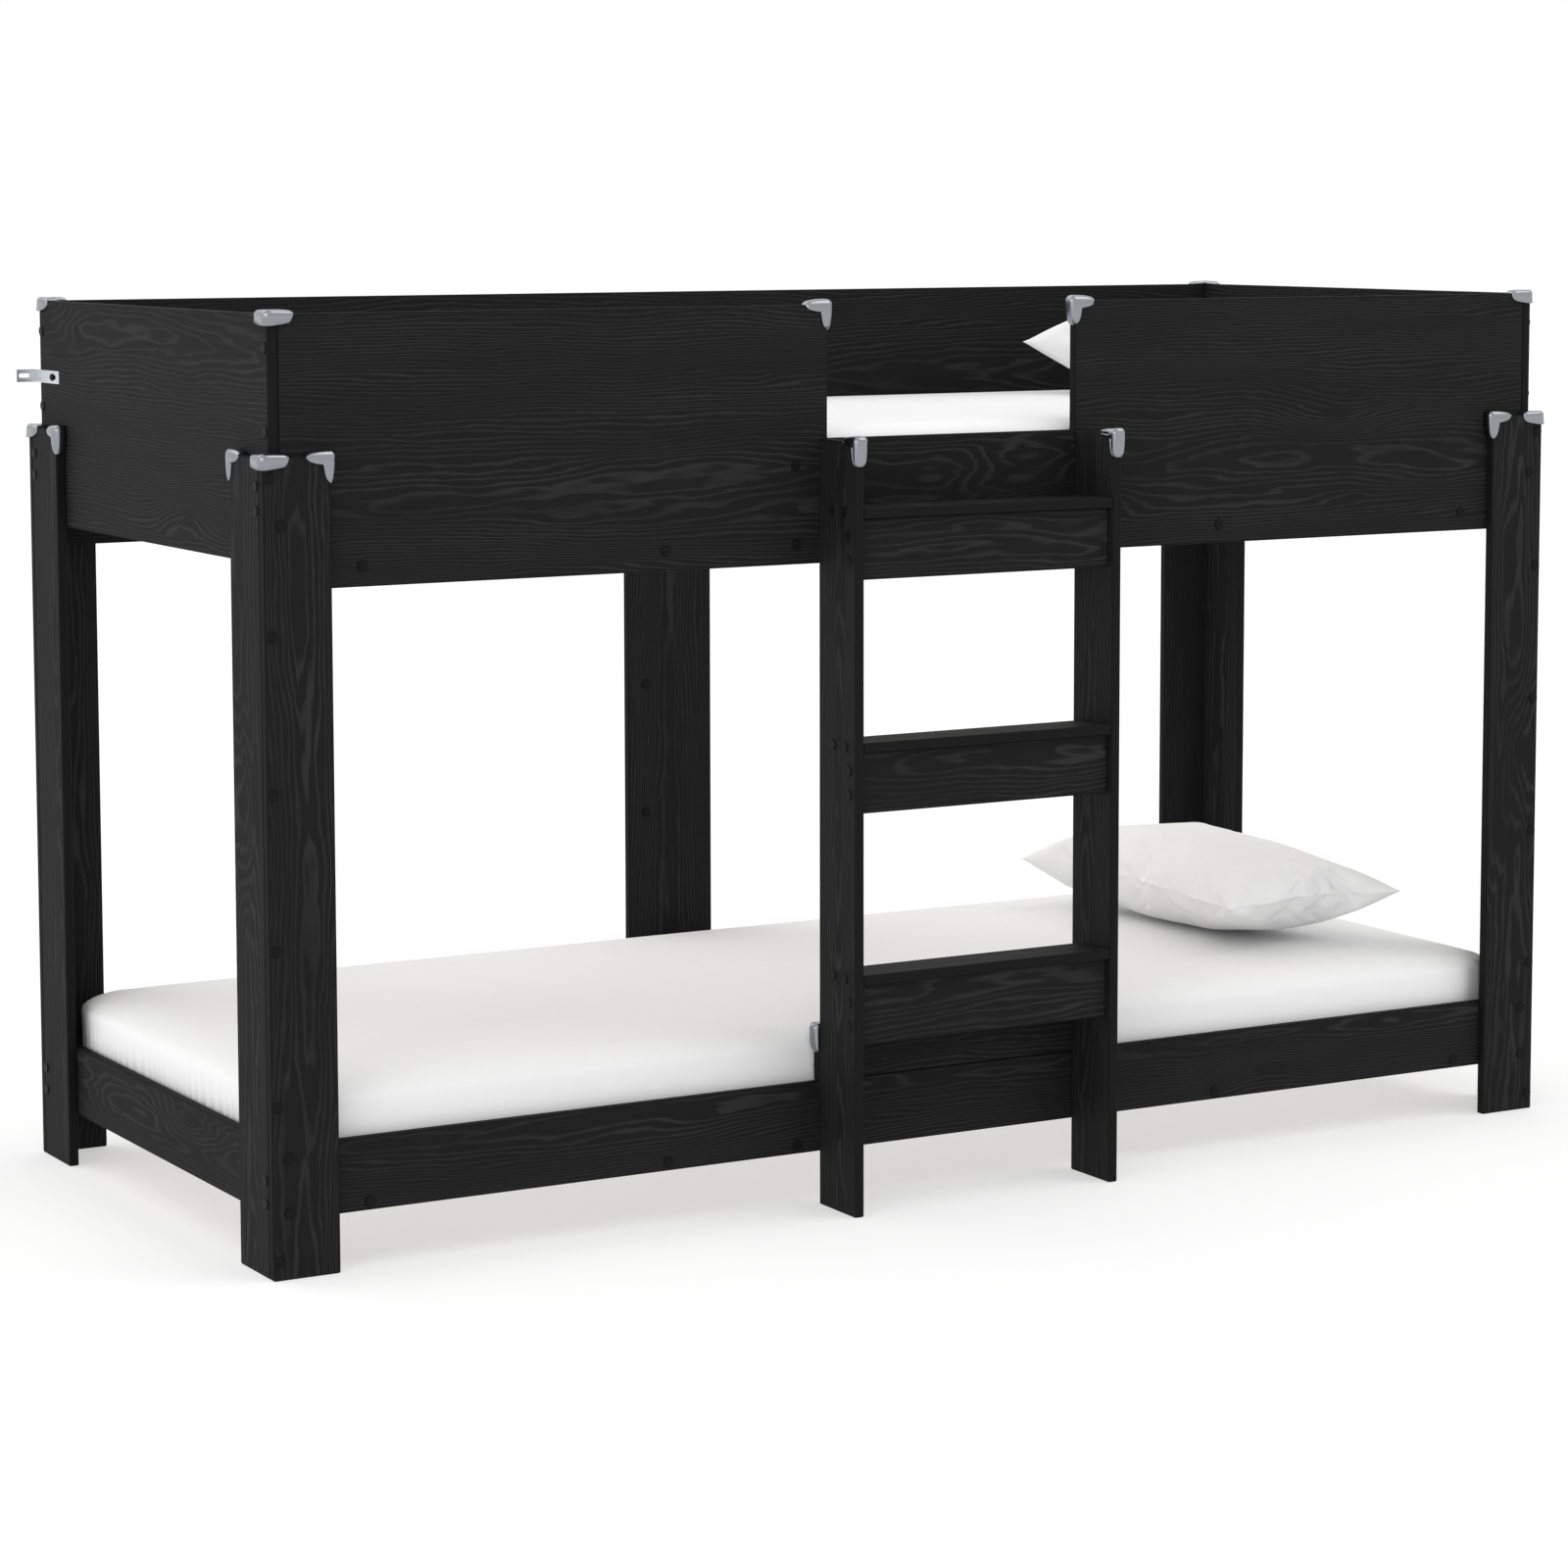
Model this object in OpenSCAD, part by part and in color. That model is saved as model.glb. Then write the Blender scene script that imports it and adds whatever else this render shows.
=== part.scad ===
// Low bunk bed with a fixed ladder. Two single berths, framed from thin pine boards that are screwed
// together edge to face. X runs along the bed, the ladder side faces -Y, and +Z is up.
// The origin is on the floor, under the middle of the whole object's box.

/* [Berths] */
// Inside length of each berth
berth_l = 2000; // [1600:10:2200]
// Inside width of each berth
berth_w = 800; // [660:10:1200]
// Thickness of every structural board
board_t = 14; // [12:1:20]
// Height of the lower rails above the floor
rail_z = 74; // [50:1:120]
// Height of the lower rail boards
rail_h = 97; // [80:1:140]

/* [Posts] */
// Height of the posts, the ladder and the floor of the entry notch
post_h = 1053; // [870:1:1300]
// Width of the post boards that face front and rear
post_face_w = 93; // [75:1:130]
// Width of the post boards that face the two ends
post_side_w = 97; // [75:1:130]
// Width of the wide board in the middle of the rear
middle_post_w = 146; // [90:1:220]

/* [Upper panels] */
// How far the upper panels rise above the posts
panel_rise = 180; // [120:1:260]
// Height of the two long panels
long_panel_h = 349; // [290:1:420]
// Height of the two end panels
end_panel_h = 317; // [280:1:400]
// Height of the raised board behind the ladder's foot
raised_board_h = 74; // [50:1:120]
// How far the raised board reaches past the ladder on each side
raised_board_over = 1; // [1:0.5:60]

/* [Ladder] */
// Clear width between the stiles, and the width of the entry notch
ladder_gap = 400; // [320:5:500]
// Depth of the stile boards
stile_d = 97; // [80:1:140]
// Height of the lowest tread's top
first_tread_z = 332; // [240:1:380]
// Drop from the stile top to the highest tread's top
top_tread_drop = 89; // [60:1:140]
// Depth of a tread
tread_d = 68; // [55:1:75]
// Height of the apron board under each tread
apron_h = 83; // [60:1:110]
// How far the aprons sit behind the front of the treads
apron_setback = 10; // [4:1:20]

/* [Slat bases] */
// Number of slats in each berth
slat_count = 13; // [8:1:16]
// Width of a slat
slat_w = 70; // [50:1:90]
// Thickness of a slat
slat_t = 15; // [12:1:20]
// Height of the ledger strips
ledger_h = 28; // [24:1:40]
// Depth of the ledger strips
ledger_d = 28; // [24:1:50]
// Height of the upper ledgers above the foot of the long panels
upper_ledger_rise = 17; // [4:1:40]
// Height of the lower ledgers above the foot of the rails
lower_ledger_rise = 2; // [0:1:20]

/* [Bedding] */
// Thickness of a mattress
mattress_h = 125; // [80:1:160]
// Room between a mattress and the boards on each side
mattress_room = 5; // [3:0.5:20]
// Length of a pillow, across the bed
pillow_l = 570; // [400:5:640]
// Width of a pillow, along the bed
pillow_w = 340; // [250:5:450]
// Thickness of a pillow at its crown
pillow_h = 147; // [80:1:160]
// Room between a pillow and the head of the mattress
pillow_room = 96; // [20:1:200]

/* [Fasteners] */
// Radius of a structural screw's shank
screw_r = 2.5; // [2:0.1:3]
// Radius of the cover cap on a structural screw
head_r = 7.5; // [6:0.5:9]
// How far a cover cap stands out of the board
head_t = 2; // [1:0.5:4]
// Length of a screw that runs into a board's edge
edge_screw_l = 45; // [35:1:60]
// Distance of a screw from the corner that it closes
screw_inset = 9; // [6:0.5:10]
// Number of screws down each corner post
post_screw_count = 6; // [4:1:8]
// Distance of the end screws from the ends of a post
post_screw_end = 25; // [18:1:40]

/* [Corner guards] */
// Length of a guard's arms along the edges of its board
guard_arm = 33; // [24:1:40]
// Width of an arm where the two arms meet
guard_w = 10; // [7:0.5:13]
// How far a guard bulges past the board's corner
guard_dome = 6.5; // [4:0.5:9]
// Thickness of a guard over the face of its board
guard_face_t = 3; // [1.5:0.5:4]
// Thickness of the wide guards on the closed corners
wing_t = 5; // [2:0.5:6]
// Length of a wing on the wide guards
wing_l = 35; // [25:1:45]
// Height of a wing on the wide guards
wing_h = 14; // [12:1:25]

/* [Wall brackets] */
// Height of the bracket strip
bracket_h = 18; // [12:1:30]
// Thickness of the bracket strip
bracket_t = 2; // [1:0.5:3]
// Length of the leg that lies along the end panel
bracket_panel_leg = 80; // [60:1:120]
// Length of the leg that lies along the wall
bracket_wall_leg = 29; // [26:1:60]
// Width of the slots in both legs
slot_w = 6; // [5:0.5:8]
// Length of the slot in the wall leg
wall_slot_l = 16; // [8:1:18]
// Length of the slot in the panel leg
panel_slot_l = 25; // [10:1:40]

/* [Hidden] */
// Running clearances
rest_gap = 0.3;
hole_gap = 0.1;
slat_gap = 1;
fit_gap = 0.2;

// Overall sizes and the planes that everything lines up with
bed_l = berth_l + 4 * board_t;
bed_d = berth_w + 4 * board_t;
ladder_out = stile_d - board_t;
front_y = -(bed_d + wing_t - ladder_out - guard_dome) / 2;
rear_y = front_y + bed_d;
middle_y = (front_y + rear_y) / 2;
inner_y = front_y + 2 * board_t;
panel_y = front_y + board_t;
panel_top = post_h + panel_rise;
long_panel_z = panel_top - long_panel_h;
end_panel_z = panel_top - end_panel_h;
rail_top = rail_z + rail_h;

// Slat bases and bedding
upper_ledger_z = long_panel_z + upper_ledger_rise;
lower_ledger_z = rail_z + lower_ledger_rise;
slat_l = berth_w - 2 * slat_gap;
slat_end = 35;
slat_pitch = (berth_l - 2 * slat_end - slat_w) / (slat_count - 1);
slat_screw_r = 2;
slat_screw_l = 30;
slat_head_r = 4;
slat_head_t = 3;
mattress_l = berth_l - 2 * mattress_room;
mattress_w = berth_w - 2 * mattress_room;
upper_mattress_z = upper_ledger_z + ledger_h + slat_t + rest_gap;
lower_mattress_z = lower_ledger_z + ledger_h + slat_t + rest_gap;
pillow_tip_r = 8;
pillow_crown_share = 0.62;

// Ladder
tread_t = board_t;
tread_count = 3;
tread_pitch = (post_h - top_tread_drop - first_tread_z) / (tread_count - 1);
stile_x = ladder_gap / 2;
stile_front_y = panel_y - stile_d;
tread_screw_back = 28;
apron_screw_drops = [38, 71];

// Screws
face_screw_l = board_t + 24;
short_screw_l = 2 * board_t - 2;
post_screw_pitch = (post_h - 2 * post_screw_end) / (post_screw_count - 1);
pair_low = 23;
pair_gap = 31;
rail_edge_inset = 13;
panel_edge_drop = 86;
panel_post_pair = [36, 67];
panel_corner_drops = [43, 149];
ledger_screw_up = 10;
ledger_end_inset = 141;
ledger_ladder_offset = 50;
ledger_quarter = (bed_l / 2 - ledger_end_inset + ladder_gap / 2 + ledger_ladder_offset) / 2;
ledger_quarter_shift = 119.5;
ladder_screw_drops = [28, 88];
ladder_rail_rise = 66;
ladder_board_rise = (raised_board_h - guard_arm) / 2;
spare_hole_l = 10;
middle_screw_x = 45;
middle_screw_drops = [33, 113];
middle_screw_rises = [21, 76];
spare_hole_x = -42;
spare_panel_drop = 35;
dowel_r = 4;
dowel_l = 50;
dowel_x = [-150, -50, 50, 150];

// Guards and brackets
guard_tip = 2.5;
guard_lip = 1.5;
guard_step = guard_arm / 6;
wing_rim = 4;
wing_round = 5;
bracket_drop = 107;
bracket_screw_in = 69;
bracket_screw_r = 2.4;
bracket_screw_l = 12;
bracket_head_r = 5;
bracket_head_t = 2;
wall_slot_out = 4;

$fn = 32;
pine = "#262626";
end_pine = "#343434";
strip_pine = "#c9a777";
guard_metal = "#b9bbbd";
zinc = "#c4c8cf";
cap_black = "#1b1b1b";
cloth = "#eeeeee";

// ---- placing ----

// A corner of the bed: the origin goes to the post's outer edge, with +X and +Y pointing inwards.
module at_corner(end, side) {
    translate([end * bed_l / 2, middle_y + side * bed_d / 2, 0])
        mirror([end > 0 ? 1 : 0, 0, 0])
            mirror([0, side > 0 ? 1 : 0, 0])
                children();
}

module at_corners() {
    for (end = [-1, 1], side = [-1, 1]) at_corner(end, side) children();
}

// The rear half is the front half seen in a mirror on the bed's middle plane.
module on_side(side) {
    translate([0, middle_y, 0])
        mirror([0, side > 0 ? 1 : 0, 0])
            translate([0, -middle_y, 0])
                children();
}

module mirrored_ends() {
    for (end = [0, 1]) mirror([end, 0, 0]) children();
}

// Turns a fastener that points along +Z.
module along_x() { rotate([0, 90, 0]) children(); }
module along_y() { rotate([-90, 0, 0]) children(); }
module along_back_x() { rotate([0, -90, 0]) children(); }
module along_back_y() { rotate([90, 0, 0]) children(); }

// ---- fasteners: a screw with its cover cap, and the hole that takes it ----

module screw(length) {
    translate([0, 0, -head_t]) cylinder(r1 = head_r - head_t / 2, r2 = head_r, h = head_t);
    cylinder(r = screw_r, h = length);
}

module screw_hole(length) {
    translate([0, 0, -1]) cylinder(r = screw_r + hole_gap, h = length + 2);
}

module fastener(hole, length) {
    if (hole) screw_hole(length);
    else screw(length);
}

// Down each corner post, through the face board into the edge of the side board.
module post_edge_row(hole) {
    for (k = [0 : post_screw_count - 1])
        translate([screw_inset, 0, post_screw_end + k * post_screw_pitch])
            along_y() fastener(hole, edge_screw_l);
}

// Through the face board into the edges of the end rail and the end panel.
module end_edge_row(hole) {
    heights = [rail_z + rail_edge_inset, rail_top - rail_edge_inset, post_h - panel_edge_drop];
    for (z = heights)
        translate([board_t + screw_inset, 0, z]) along_y() fastener(hole, edge_screw_l);
}

// Through the side board and the end board into the end of the long board behind.
module post_side_row(hole) {
    rail_pair = [rail_z + pair_low, rail_z + pair_low + pair_gap];
    panel_pair = [for (drop = panel_post_pair) post_h - drop];
    for (z = concat(rail_pair, panel_pair))
        translate([0, board_t + screw_inset, z])
            along_x() fastener(hole, edge_screw_l + board_t);
}

// Through the end panel into the end of the long panel, above the posts.
module panel_corner_row(hole) {
    for (drop = panel_corner_drops)
        translate([board_t, board_t + screw_inset, panel_top - drop])
            along_x() fastener(hole, edge_screw_l);
}

// Through a long board into the ledger behind it.
module ledger_row(z, hole) {
    near = ladder_gap / 2 + ledger_ladder_offset;
    far = bed_l / 2 - ledger_end_inset;
    quarter = ledger_quarter - ledger_quarter_shift;
    for (x = [near, quarter, far])
        mirrored_ends() translate([x, panel_y, z]) along_y() fastener(hole, face_screw_l);
}

module upper_ledger_row(hole) { ledger_row(upper_ledger_z + ledger_screw_up, hole); }
module lower_ledger_row(hole) { ledger_row(lower_ledger_z + ledger_screw_up, hole); }

// From inside the berths, through the long boards into the rear edges of the stiles.
module ladder_fixing_column(hole) {
    heights = concat([for (drop = ladder_screw_drops) post_h - drop],
                     [rail_z + ladder_rail_rise, rail_top + ladder_board_rise]);
    for (z = heights)
        mirrored_ends()
            translate([stile_x + board_t / 2, inner_y, z])
                along_back_y() fastener(hole, edge_screw_l);
}

// Through the middle post into the rear panel and the rear rail. Drawn for the front half.
module middle_post_group(hole) {
    heights = concat([for (drop = middle_screw_drops) post_h - drop],
                     [for (rise = middle_screw_rises) rail_z + rise]);
    for (z = heights)
        mirrored_ends()
            translate([middle_screw_x, front_y, z]) along_y() fastener(hole, short_screw_l);
}

// Through a stile into the ends of one tread and its apron.
module tread_group(top_z, hole) {
    front = stile_front_y;
    tread_y = [front + tread_screw_back, front + tread_d - screw_inset];
    for (y = tread_y)
        translate([stile_x + board_t, y, top_z - tread_t / 2])
            along_back_x() fastener(hole, edge_screw_l);
    for (drop = apron_screw_drops)
        translate([stile_x + board_t, front + apron_setback + board_t / 2, top_z - drop])
            along_back_x() fastener(hole, edge_screw_l);
}

// Caps that close drilled holes with no screw in them.
module middle_post_spares(hole) {
    for (k = [2, 3])
        translate([spare_hole_x, rear_y - board_t, post_screw_end + k * post_screw_pitch])
            along_y() fastener(hole, spare_hole_l);
}

module panel_spares(hole) {
    mirrored_ends()
        translate([ladder_gap / 2 + ledger_ladder_offset, panel_y, post_h - spare_panel_drop])
            along_y() fastener(hole, spare_hole_l);
}

module slat_screw_rows(base_z, hole) {
    top = base_z + ledger_h + slat_t;
    spare = hole ? hole_gap : 0;
    rise = hole ? 1 : 0;
    for (k = [0 : slat_count - 1], side = [-1, 1])
        on_side(side)
            translate([slat_x(k), inner_y + ledger_d / 2, top - fit_gap]) {
                translate([0, 0, -slat_head_t - spare])
                    cylinder(r = slat_head_r + spare, h = slat_head_t + spare + rise);
                translate([0, 0, -slat_screw_l - spare])
                    cylinder(r = slat_screw_r + spare, h = slat_screw_l - slat_head_t + spare);
            }
}

// ---- posts ----

module post_face_board() {
    color(pine) difference() {
        cube([post_face_w, board_t, post_h]);
        post_edge_row(true);
        end_edge_row(true);
    }
}

module post_side_board() {
    color(end_pine) difference() {
        translate([0, board_t, 0]) cube([board_t, post_side_w, post_h]);
        post_edge_row(true);
        post_side_row(true);
    }
}

module post_rear_middle() {
    color(pine) difference() {
        translate([-middle_post_w / 2, rear_y - board_t, 0]) cube([middle_post_w, board_t, post_h]);
        on_side(1) middle_post_group(true);
        middle_post_spares(true);
    }
}

// ---- long boards, drawn for the front half ----

module long_panel() {
    translate([-berth_l / 2, panel_y, long_panel_z]) cube([berth_l, board_t, long_panel_h]);
}

module long_rail() {
    translate([-berth_l / 2, panel_y, rail_z]) cube([berth_l, board_t, rail_h]);
}

module corner_holes(side) {
    for (end = [-1, 1])
        at_corner(end, side) {
            post_side_row(true);
            panel_corner_row(true);
        }
}

module upper_panel_front() {
    color(pine) difference() {
        long_panel();
        translate([-ladder_gap / 2, panel_y - 1, post_h]) cube([ladder_gap, board_t + 2, panel_rise + 1]);
        corner_holes(-1);
        upper_ledger_row(true);
        ladder_fixing_column(true);
        panel_spares(true);
    }
}

module upper_panel_rear() {
    color(pine) difference() {
        on_side(1) long_panel();
        corner_holes(1);
        on_side(1) {
            upper_ledger_row(true);
            middle_post_group(true);
        }
    }
}

module lower_rail_front() {
    color(pine) difference() {
        long_rail();
        corner_holes(-1);
        lower_ledger_row(true);
        ladder_fixing_column(true);
        raised_board_dowel_row(hole_gap);
    }
}

module lower_rail_rear() {
    color(pine) difference() {
        on_side(1) long_rail();
        corner_holes(1);
        on_side(1) {
            lower_ledger_row(true);
            middle_post_group(true);
        }
    }
}

// ---- end boards: each covers the ends of the long boards ----

module end_board(end, z, height) {
    color(end_pine) difference() {
        at_corner(end, -1)
            translate([board_t, board_t, z]) cube([board_t, bed_d - 2 * board_t, height]);
        for (side = [-1, 1])
            at_corner(end, side) {
                end_edge_row(true);
                post_side_row(true);
                panel_corner_row(true);
            }
        bracket_screw_at(end, hole_gap);
    }
}

module upper_panel_left() { end_board(-1, end_panel_z, end_panel_h); }
module upper_panel_right() { end_board(1, end_panel_z, end_panel_h); }
module lower_rail_left() { end_board(-1, rail_z, rail_h); }
module lower_rail_right() { end_board(1, rail_z, rail_h); }

// ---- raised board behind the ladder's foot ----

raised_board_x = stile_x + board_t + raised_board_over;

module raised_board() {
    color(pine) difference() {
        translate([-raised_board_x, panel_y, rail_top])
            cube([2 * raised_board_x, board_t, raised_board_h]);
        ladder_fixing_column(true);
        raised_board_dowel_row(hole_gap);
    }
}

module raised_board_dowel_row(spare) {
    for (x = dowel_x)
        translate([x, panel_y + board_t / 2, rail_top - dowel_l / 2 - spare])
            cylinder(r = dowel_r + spare, h = dowel_l + 2 * spare);
}

module raised_board_dowels() { color(strip_pine) raised_board_dowel_row(0); }

// ---- slat bases ----

function slat_x(k) = -berth_l / 2 + slat_end + slat_w / 2 + k * slat_pitch;

module ledger(z) {
    translate([-berth_l / 2, inner_y, z]) cube([berth_l, ledger_d, ledger_h]);
}

module upper_ledger(side) {
    color(pine) difference() {
        on_side(side) ledger(upper_ledger_z);
        on_side(side) upper_ledger_row(true);
        slat_screw_rows(upper_ledger_z, true);
    }
}

module lower_ledger(side) {
    color(pine) difference() {
        on_side(side) ledger(lower_ledger_z);
        on_side(side) lower_ledger_row(true);
        slat_screw_rows(lower_ledger_z, true);
    }
}

module upper_ledger_front() { upper_ledger(-1); }
module upper_ledger_rear() { upper_ledger(1); }
module lower_ledger_front() { lower_ledger(-1); }
module lower_ledger_rear() { lower_ledger(1); }

module slats(base_z) {
    color(strip_pine) difference() {
        for (k = [0 : slat_count - 1])
            translate([slat_x(k) - slat_w / 2, inner_y + slat_gap, base_z + ledger_h])
                cube([slat_w, slat_l, slat_t]);
        slat_screw_rows(base_z, true);
    }
}

module upper_slats() { slats(upper_ledger_z); }
module lower_slats() { slats(lower_ledger_z); }
module upper_slat_screws() { color(zinc) slat_screw_rows(upper_ledger_z, false); }
module lower_slat_screws() { color(zinc) slat_screw_rows(lower_ledger_z, false); }

// ---- ladder ----

function tread_z(k) = first_tread_z + k * tread_pitch;

// Drawn on the right and mirrored to the left.
module ladder_stile() {
    color(pine) difference() {
        translate([stile_x, stile_front_y, 0]) cube([board_t, stile_d, post_h]);
        for (k = [0 : tread_count - 1]) tread_group(tread_z(k), true);
        ladder_fixing_column(true);
    }
}

module ladder_stile_right() { ladder_stile(); }
module ladder_stile_left() { mirror([1, 0, 0]) ladder_stile(); }

module tread(k) {
    color(pine) difference() {
        translate([-ladder_gap / 2, stile_front_y, tread_z(k) - tread_t])
            cube([ladder_gap, tread_d, tread_t]);
        mirrored_ends() tread_group(tread_z(k), true);
    }
}

module apron(k) {
    color(pine) difference() {
        translate([-ladder_gap / 2, stile_front_y + apron_setback, tread_z(k) - tread_t - apron_h])
            cube([ladder_gap, board_t, apron_h]);
        mirrored_ends() tread_group(tread_z(k), true);
    }
}

module ladder_tread_low() { tread(0); }
module ladder_tread_middle() { tread(1); }
module ladder_tread_high() { tread(2); }
module ladder_apron_low() { apron(0); }
module ladder_apron_middle() { apron(1); }
module ladder_apron_high() { apron(2); }

// ---- fastener groups ----

module post_edge_screws() { color(cap_black) at_corners() post_edge_row(false); }
module end_edge_screws() { color(cap_black) at_corners() end_edge_row(false); }
module post_side_screws() { color(cap_black) at_corners() post_side_row(false); }
module panel_corner_screws() { color(cap_black) at_corners() panel_corner_row(false); }
module upper_ledger_screws() { color(cap_black) for (s = [-1, 1]) on_side(s) upper_ledger_row(false); }
module lower_ledger_screws() { color(cap_black) for (s = [-1, 1]) on_side(s) lower_ledger_row(false); }
module ladder_fixing_screws() { color(cap_black) ladder_fixing_column(false); }
module middle_post_screws() { color(cap_black) on_side(1) middle_post_group(false); }

module tread_screws() {
    color(cap_black)
        for (k = [0 : tread_count - 1]) mirrored_ends() tread_group(tread_z(k), false);
}

module spare_hole_caps() {
    color(cap_black) {
        middle_post_spares(false);
        panel_spares(false);
    }
}

// ---- corner guards ----

// An arm bulges past the edge by guard_bulge(d) and covers guard_cover(d) of the face, where d is the
// distance from the board's corner. Both fall as a parabola to the tip.
function guard_fall(d) = 1 - pow(d / guard_arm, 2);
function guard_bulge(d) = guard_lip + (guard_dome - guard_lip) * guard_fall(d);
function guard_cover(d) = guard_tip + (guard_w - guard_tip) * guard_fall(d);

// Outline in the plane of the board, whose corner is at the origin and which fills x > 0, y < 0.
module guard_outline() {
    steps = [0 : guard_step : guard_arm];
    inner = [guard_w : guard_step : guard_arm];
    polygon(concat(
        [for (d = steps) [d, guard_bulge(d)]],
        [for (d = inner) let (e = guard_arm + guard_w - d) [e, -guard_cover(e)]],
        [for (d = inner) [guard_cover(d), -d]],
        [for (d = steps) let (e = guard_arm - d) [-guard_bulge(e), -e]],
        [for (a = [165 : -15 : 105]) guard_dome * [cos(a), sin(a)]]
    ));
    tip = (guard_tip + guard_lip) / 2;
    translate([guard_arm, guard_lip - tip]) circle(r = tip);
    translate([tip - guard_lip, -guard_arm]) circle(r = tip);
}

// A guard on the free corner of a board that lies in XZ, from y = 0 back to y = board_t.
// It covers the front face, and the rear face too if both is set.
module board_guard(both) {
    back = both ? guard_face_t : -fit_gap;
    difference() {
        translate([0, board_t + back, 0])
            rotate([90, 0, 0]) linear_extrude(height = board_t + back + guard_face_t) guard_outline();
        translate([0, 0, -2 * guard_arm]) cube([2 * guard_arm, board_t, 2 * guard_arm]);
    }
}

// A wide guard on a closed corner of two boards that meet at a right angle.
module wing_guard() {
    difference() {
        intersection() {
            translate([0, 0, -wing_h]) linear_extrude(height = wing_h + wing_rim) wing_plan();
            union() {
                translate([0, wing_l + 1, 0]) rotate([90, 0, 0])
                    linear_extrude(height = 2 * wing_l) wing_side();
                mirror([1, -1, 0]) translate([0, wing_l + 1, 0]) rotate([90, 0, 0])
                    linear_extrude(height = 2 * wing_l) wing_side();
            }
        }
        translate([0, 0, -2 * wing_h]) cube([2 * wing_l, 2 * wing_l, 2 * wing_h]);
    }
}

module wing_plan() {
    across = board_t - fit_gap;
    round_r = wing_t + 1;
    difference() {
        union() {
            translate([round_r - wing_t, -wing_t]) square([wing_l - round_r + wing_t, across + wing_t]);
            translate([-wing_t, round_r - wing_t]) square([across + wing_t, wing_l - round_r + wing_t]);
            translate([round_r - wing_t, round_r - wing_t]) circle(r = round_r);
        }
    }
}

module wing_side() {
    bottom = wing_h - wing_round;
    translate([-wing_t, -bottom]) square([wing_l + wing_t, bottom + wing_rim]);
    translate([-wing_t, -wing_h]) square([wing_l + wing_t - wing_round, wing_h]);
    translate([wing_l - wing_round, -bottom]) circle(r = wing_round);
}

module panel_corner_guards() {
    color(guard_metal) at_corners() translate([board_t, board_t, panel_top]) wing_guard();
}

module post_corner_guards() {
    color(guard_metal) at_corners() translate([0, 0, post_h]) wing_guard();
}

// The free top corners of the post boards and of the rear middle board.
module post_board_guards() {
    color(guard_metal) {
        at_corners() {
            translate([post_face_w, 0, post_h]) mirror([1, 0, 0]) board_guard(false);
            mirror([1, -1, 0])
                translate([board_t + post_side_w, 0, post_h]) mirror([1, 0, 0]) board_guard(false);
        }
        mirrored_ends()
            translate([middle_post_w / 2, rear_y, post_h]) mirror([0, 1, 0]) mirror([1, 0, 0])
                board_guard(false);
    }
}

module notch_guards() {
    color(guard_metal)
        mirrored_ends() translate([ladder_gap / 2, panel_y, panel_top]) board_guard(true);
}

module ladder_guards() {
    color(guard_metal)
        mirrored_ends()
            translate([stile_x + board_t, stile_front_y, post_h]) rotate([0, 0, 90]) board_guard(true);
}

// These are cut to pass behind the stiles, which lie flat on the raised board.
module raised_board_guards() {
    top = rail_top + raised_board_h;
    color(guard_metal)
        mirrored_ends() difference() {
            translate([raised_board_x, panel_y, top]) mirror([1, 0, 0]) board_guard(true);
            translate([0, panel_y - stile_d, top - 2 * guard_arm])
                cube([stile_x + board_t + fit_gap, stile_d + fit_gap, 4 * guard_arm]);
        }
}

// ---- wall brackets, drawn in a rear corner's own axes ----

bracket_z = panel_top - bracket_drop - bracket_h / 2;

module slot(length) {
    half = (length - slot_w) / 2;
    for (x = [-half, half]) translate([x, 0, -1]) cylinder(r = slot_w / 2, h = bracket_t + 2);
    translate([-half, -slot_w / 2, -1]) cube([2 * half, slot_w, bracket_t + 2]);
}

module wall_bracket(end) {
    color(zinc) at_corner(end, 1) difference() {
        union() {
            translate([board_t - bracket_t, -wing_t, bracket_z])
                cube([bracket_t, wing_t + board_t + bracket_panel_leg, bracket_h]);
            translate([board_t - bracket_wall_leg, -wing_t, bracket_z])
                cube([bracket_wall_leg, bracket_t, bracket_h]);
        }
        translate([-wall_slot_out, -wing_t, bracket_z + bracket_h / 2])
            rotate([-90, 0, 0]) slot(wall_slot_l);
        translate([board_t - bracket_t, bracket_screw_in, bracket_z + bracket_h / 2])
            rotate([0, 90, 0]) rotate([0, 0, 90]) slot(panel_slot_l);
    }
}

module bracket_screw_at(end, spare) {
    at_corner(end, 1)
        translate([board_t - bracket_t, bracket_screw_in, bracket_z + bracket_h / 2])
            along_x() {
                cylinder(r = bracket_screw_r + spare, h = bracket_screw_l + spare);
                translate([0, 0, -bracket_head_t]) cylinder(r = bracket_head_r, h = bracket_head_t);
            }
}

module wall_bracket_left() { wall_bracket(-1); }
module wall_bracket_right() { wall_bracket(1); }
module bracket_screws() { color(cap_black) for (end = [-1, 1]) bracket_screw_at(end, 0); }

// ---- bedding ----

module mattress(z) {
    color(cloth)
        translate([-mattress_l / 2, middle_y - mattress_w / 2, z])
            cube([mattress_l, mattress_w, mattress_h]);
}

// A stuffed pillow: four corner tips and a flattened crown, wrapped in one skin.
module pillow(z) {
    tip_z = pillow_h * 0.42;
    color(cloth)
        translate([mattress_l / 2 - pillow_room - pillow_w / 2, middle_y, z + rest_gap]) hull() {
            for (x = [-1, 1], y = [-1, 1])
                translate([x * (pillow_w / 2 - pillow_tip_r), y * (pillow_l / 2 - pillow_tip_r), tip_z])
                    sphere(r = pillow_tip_r);
            translate([0, 0, pillow_h / 2])
                scale([pillow_w * pillow_crown_share, pillow_l * pillow_crown_share, pillow_h])
                    sphere(d = 1);
        }
}

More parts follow.
